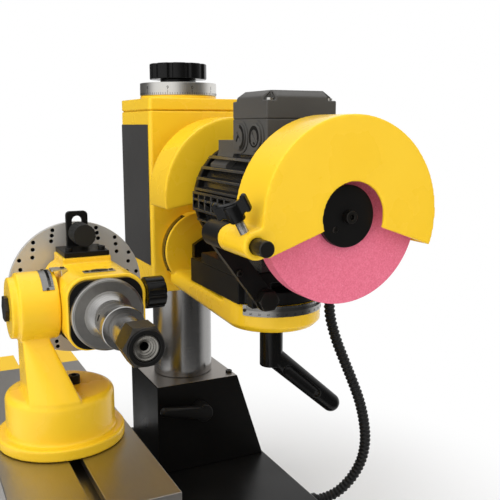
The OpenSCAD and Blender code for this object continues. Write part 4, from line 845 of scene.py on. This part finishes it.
def graduate_arm():
    """The platform's and the tilt flange's degree lines and numbers, the strips' end screws, and the tilt
    slot's dark lining of painted shade.
    """
    rim, flange, first = 61.2, 56.2, -56
    graduations("platform_lines", "arm", 131, rim, first, 130, 6.0, 3.6, 5, 0.3, UPRIGHT, (*PLATFORM, 397.8))
    marks = [(str(abs(k * 10 - 60)), first + 10 * k + 5, 392.6) for k in range(13)]
    numerals("platform_numbers", "arm", marks, 3.6, round_face(PLATFORM, rim - 0.05))
    graduations("tilt_lines", "arm", 85, flange, 122, 84, 4.5, 2.8, 5, 0.3, ALONG_X, (-28.6, *TILT))
    # painted shade: a thin dark strip lining the tilt slot, where shade falls in the groove
    slot = Shape().bent(54.4, 55.3, -34.4, -22.3, 116.5, 95, (0, *TILT), ALONG_X, 48)
    show("tilt_slot", slot, "arm", INK_AND_SHADE)
    for strip, centre, axis, reach, screw, angles in (
            ("platform", (*PLATFORM, 397.5), UPRIGHT, rim, (2.0, 0.9, 0.5), (-58.6, 76.6)),
            ("tilt", (-28.35, *TILT), ALONG_X, flange, (1.8, 0.8, 0.5), (120.0, 208.0))):
        for number, angle in enumerate(angles, 1):
            out = spoke(angle, axis)
            set_out(f"{strip}_strip_screw_{number}", "arm", slotted_screw(*screw),
                    [Vector(centre) + out * reach], out, OXIDE)


def fit_terminal_box():
    """The lid's corner screws, the plugs' painted shade (the round plug's slot and a shadow crescent beside
    its disc, the other's ring and hook), their rims, and the pad.
    """
    corner, lid_top, ink, middle = 37.5, 638, 0.3, 597.5
    left, right = PLUGS
    places = [(BOX[0] + sx * corner, BOX[1] + sy * corner, lid_top) for sx in (-1, 1) for sy in (-1, 1)]
    set_out("lid_screws", "head", slotted_screw(4.2, 2.6, 1.0), places, Z, SILVER, 30)
    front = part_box("entry_plugs")[0][1] / MM
    # Dark marks of painted shade: the round plug's slot here, and the other plug's recess ring and hook below
    marks = Shape().plate(rectangle(9.5, 2.6, 1.2), ink, (left - 3.5, front, 596.0), FACING_FRONT, 54)
    # painted shadow: a dark crescent on one side of the round plug, where its raised disc casts shade
    marks.bent(10.8, 14.6, 0, ink, -78, 156, (left, front, middle), FACING_FRONT, 24)
    marks.bent(8.2, 12.4, 0, ink, -20, 235, (right, front, 598.0), FACING_FRONT, 32)
    marks.bent(9.8, 11.6, 0, ink, 215, 125, (right, front, 598.0), FACING_FRONT, 16)
    marks.plate(rectangle(4.6, 2.4, 1.0), ink, (right + 0.5, front, 591.0), FACING_FRONT, -15)
    show("plug_marks", marks, "head", INK_AND_SHADE)
    rims = Shape()
    for x in PLUGS:
        rims.bent(15.2, 18.6, 0, 1.4, 0, 360, (x, 91, middle), FACING_FRONT, 48)
    show("plug_rims", rims, "head", GREY)
    across = [(43, 26), (43, 12), (45, 6), (49, 1), (54, -3), (54, -9)]
    across += [(-y, z) for y, z in reversed(across)]
    pad = Shape().plate(across, 46, (88, BOX[1], 567), ALONG_X, soft=1.5)
    pad.plate(rectangle(16, 30, 3), 4, (124, BOX[1], 593), Z, soft=1.0)
    show("box_pad", pad, "head", GREY)


def fit_wing_knob():
    """The clamp knob's bright threaded stem."""
    way, foot, tip = Vector((0, -0.46639, 0.88458)), 9, 26.6
    root, crest, pitch = 4.15, 4.55, 0.8
    thread = [(0, foot)]
    for k in range(22):
        thread += [(root, foot + pitch * k), (crest, foot + pitch / 2 + pitch * k)]
    thread += [(root, tip), (0, tip)]
    show("wing_stem", Shape().turned(thread, (311, 27, 499), way, 28), "wing_knob", TURNED)


def fit_collet():
    """The dark hexagon nut with its turned corners and its rim, and the bright collet in it."""
    nut_at, collet_at = (290, *SPINDLE), (270.8, *SPINDLE)
    nut = [(16.1, 0), (17.6, 0), (18.5, 0, "hex", -HEX_FALL), (18.5, 26.5, "hex", HEX_FALL), (17.6, 27.6),
           (16.1, 27.6)]
    stand_in("collet_nut", Shape().turned(nut, nut_at, X, 96, closed=True), OXIDE)
    rim = [(13.2, 26), (17.0, 26), (17.5, 27.8), (17.2, 30.6), (16.8, 31), (13.6, 31), (13.2, 30.6)]
    show("collet_nut_rim", Shape().turned(rim, nut_at, X, 64, closed=True), "work_spindle", BLACK)
    face = [(4.0, 0), (10.4, 0), (10.4, 42), (12.9, 46), (12.9, 48.2), (12.4, 48.7), (11.4, 48.7),
            (11.0, 48.1), (9.6, 47.5), (9.4, 46.8), (7.8, 46.0), (7.6, 45.2), (6.0, 44.2), (5.8, 43.0),
            (4.3, 42.0), (4.0, 41.0)]
    stand_in("collet", Shape().turned(face, collet_at, X, 64, closed=True), RINGED)


def sink_index_holes():
    """The index disc's drilled holes, their insides lined with painted shade."""
    face, outer_ring, ring_gap = 37, 77.5, 5.75
    places = []
    for ring, count in enumerate((18, 16, 14)):
        for k in range(count):
            out = spoke(90 + 360 * k / count, ALONG_X)
            places.append(Vector((face, *SPINDLE)) + out * (outer_ring - ring_gap * ring))
    # painted shade: a dark cup in each hole for the shade inside it
    shade_liner = [(0, 0.05), (2.38, 0.05), (2.38, 4.5), (2.28, 4.5), (2.28, 0.2), (0, 0.2)]
    set_out("index_holes", "work_spindle", Shape().turned(shade_liner, steps=16), places, X, INK_AND_SHADE)


def fit_tilt_scale():
    """The workhead's chrome tilt scale with its lines, and the two pointer plates on the housing's corners."""
    def centre(y):
        return Vector((TRUNNION[0], y, TRUNNION[1]))

    face, corner = 39.4, (-100, 394.5)
    strip = Shape().bent(38.0, face, -140, -127.5, -6, 60, centre(0), ALONG_Y, 32)
    show("work_tilt_strip", strip, "work_base", CHROME)
    graduations("work_tilt_lines", "work_base", 51, face, -2, 50, 5.0, 3.0, 5, 0.3, ALONG_Y, centre(-133.2))
    for number, angle in enumerate((-4.2, 52.2), 1):
        out = spoke(angle, ALONG_Y)
        set_out(f"work_tilt_screw_{number}", "work_base", slotted_screw(1.6, 0.7, 0.45),
                [centre(-134.4) + out * face], out, OXIDE)
    upper = Shape().plate(rectangle(17, 17, 1.5), 1.6, (122, -118.5, 452.8), Z, soft=0.3)
    upper.plate(rectangle(13, 8, 1.5), 7.5, (122, -113, 445.4), Z)
    show("upper_pointer", upper, "work_head", SILVER)
    lower = Shape().bent(21.8, 24.0, 110, 134, 190, 70, (0, *corner), ALONG_X, 16)
    show("lower_pointer", lower, "work_head", BLACK)
    set_out("upper_pointer_screw", "work_head", slotted_screw(2.4, 1.2, 0.6), [(122, -114, 454.4)], Z, OXIDE)
    out = spoke(215, ALONG_X)
    set_out("lower_pointer_screw", "work_head", socket_screw(2.6, 2.0, 1.2),
            [Vector((122, *corner)) + out * 24], out, OXIDE)


def fit_front_plate():
    """The black plate behind the nose ring, set in from the housing's edge."""
    left, right, ends, bore = 0.8, 4.0, 2.2, 34.0
    mesh = frame["nodes"]["front_plate"].data.copy()
    low, high = (corner / MM for corner in map(Vector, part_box("front_plate")))
    middle, half = (low + high) / 2, (high - low) / 2
    for point in mesh.vertices:
        place = point.co / MM
        if math.hypot(place.y - SPINDLE[0], place.z - SPINDLE[1]) > bore:
            side = right if place.y > middle.y else left
            place.y = middle.y + (place.y - middle.y) * (1 - side / half.y)
            place.z = middle.z + (place.z - middle.z) * (1 - ends / half.z)
            point.co = place * MM
    stand_in("front_plate", mesh, BLACK)


def fit_zero_plate():
    """The zero plate's raised dark centre, its pointer and its two screws."""
    x, top, half, rise = 155.5, 454.7, 9, 4.2
    arch = [(-half, -3.6), (half, -3.6), (half, -1.0)]
    arch += [(half * math.cos(a), rise * math.sin(a) - 0.4) for a in (math.pi * k / 10 for k in range(1, 10))]
    arch += [(-half, -1.0)]
    raised = Shape().plate(arch, 1.1, (x, SPINDLE[0], top), Z, 90, soft=0.3)
    raised.plate([(-1.2, 0), (1.2, 0), (0, -2.6)], 1.3, (159.3, SPINDLE[0], top), Z, 90)
    show("zero_arch", raised, "work_head", OXIDE)
    set_out("zero_screws", "work_head", slotted_screw(2.2, 1.0, 0.6),
            [(x, SPINDLE[0] + side * 13.4, top) for side in (-1, 1)], Z, OXIDE)


def fit_spindle():
    """The spindle, turned from the disc's nut to the bored nose, with its grooves, and a dark band of painted
    shade for its small spanner slot.
    """
    outline = [(0, 31), (15.2, 31), (16, 31.8), (16, 42), (30, 42), (30, 49.7), (22, 49.7), (22, 192.3),
               (26, 192.3), (19.4, 205.4), (18.4, 205.7), (18.4, 206.8), (19, 207.2), (19, 238.4),
               (18.2, 238.8), (18.2, 240), (21.7, 240), (22.5, 240.8), (22.5, 249.2), (21.7, 250), (15.2, 250),
               (15.2, 252.4), (16, 252.8), (16, 298), (10.5, 298), (10.5, 270.6), (0, 270.6)]
    stand_in("work_spindle", Shape().turned(outline, (0, *SPINDLE), X, 96), TURNED, 25)
    # painted shade: a thin dark band where the spanner slot would be sunk
    slot = Shape().bent(18.4, 19.1, 217.2, 221.0, 152, 20, (0, *SPINDLE), ALONG_X, 10)
    show("spindle_slot", slot, "work_spindle", INK_AND_SHADE)


def fit_guard_bolt():
    """The hexagon bolt that the guard's bar turns on, with its washer and shank."""
    low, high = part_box("guard_bolt")
    tall, washer, shank = 10, 2, 6
    head = high[0] / MM - tall
    end = low[0] / MM - head
    bolt = [(0, tall), (9.6, tall), (10.7, 9.5, "hex", HEX_FALL), (10.7, washer, "hex"), (13, washer), (13, 0),
            (shank, 0), (shank, end), (0, end)]
    stand_in("guard_bolt", Shape().turned(bolt, (head, 85, 421), X, 72), OXIDE)


def fit_screws():
    """Screws of the index bracket, guard bar, flange, swivel base, pedestal and head lever."""
    pair = [(95, SPINDLE[0] + side * 19, 467.5) for side in (-1, 1)]
    for name, body, screw, places, way, finish in (
            ("bracket_screws", "work_head", socket_screw(4.2, 4.5, 2.0), pair, Z, BLACK),
            ("bar_screw", "head", socket_screw(3.6, 4.0, 1.7), [(232, 52, 454)], X, OXIDE),
            ("flange_screw", "rotor", socket_screw(3.3, 1.4, 1.6), [(313.2, 121, 507)], X, OXIDE),
            ("swivel_screw", "work_base", socket_screw(7.0, 10.0, 3.4), [(112, -104, 315.3)], Z, BLACK),
            ("pedestal_screw", "base", socket_screw(5.0, 4.0, 2.4), [(-58, 170, 232)], Z, OXIDE),
            ("lever_screw", "head_lever", slotted_screw(5.0, 2.4, 1.2), [(*PLATFORM, 314)], DOWN, OXIDE)):
        set_out(name, body, screw, places, way, finish)


place_camera()
hang_conduit()
lay_floor()
light_studio()
dress_inside()
soften_castings()
panel_on_sleeve()
graduate_dial()
graduate_arm()
fit_terminal_box()
fit_wing_knob()
fit_collet()
sink_index_holes()
fit_tilt_scale()
fit_front_plate()
fit_zero_plate()
fit_spindle()
fit_guard_bolt()
fit_screws()
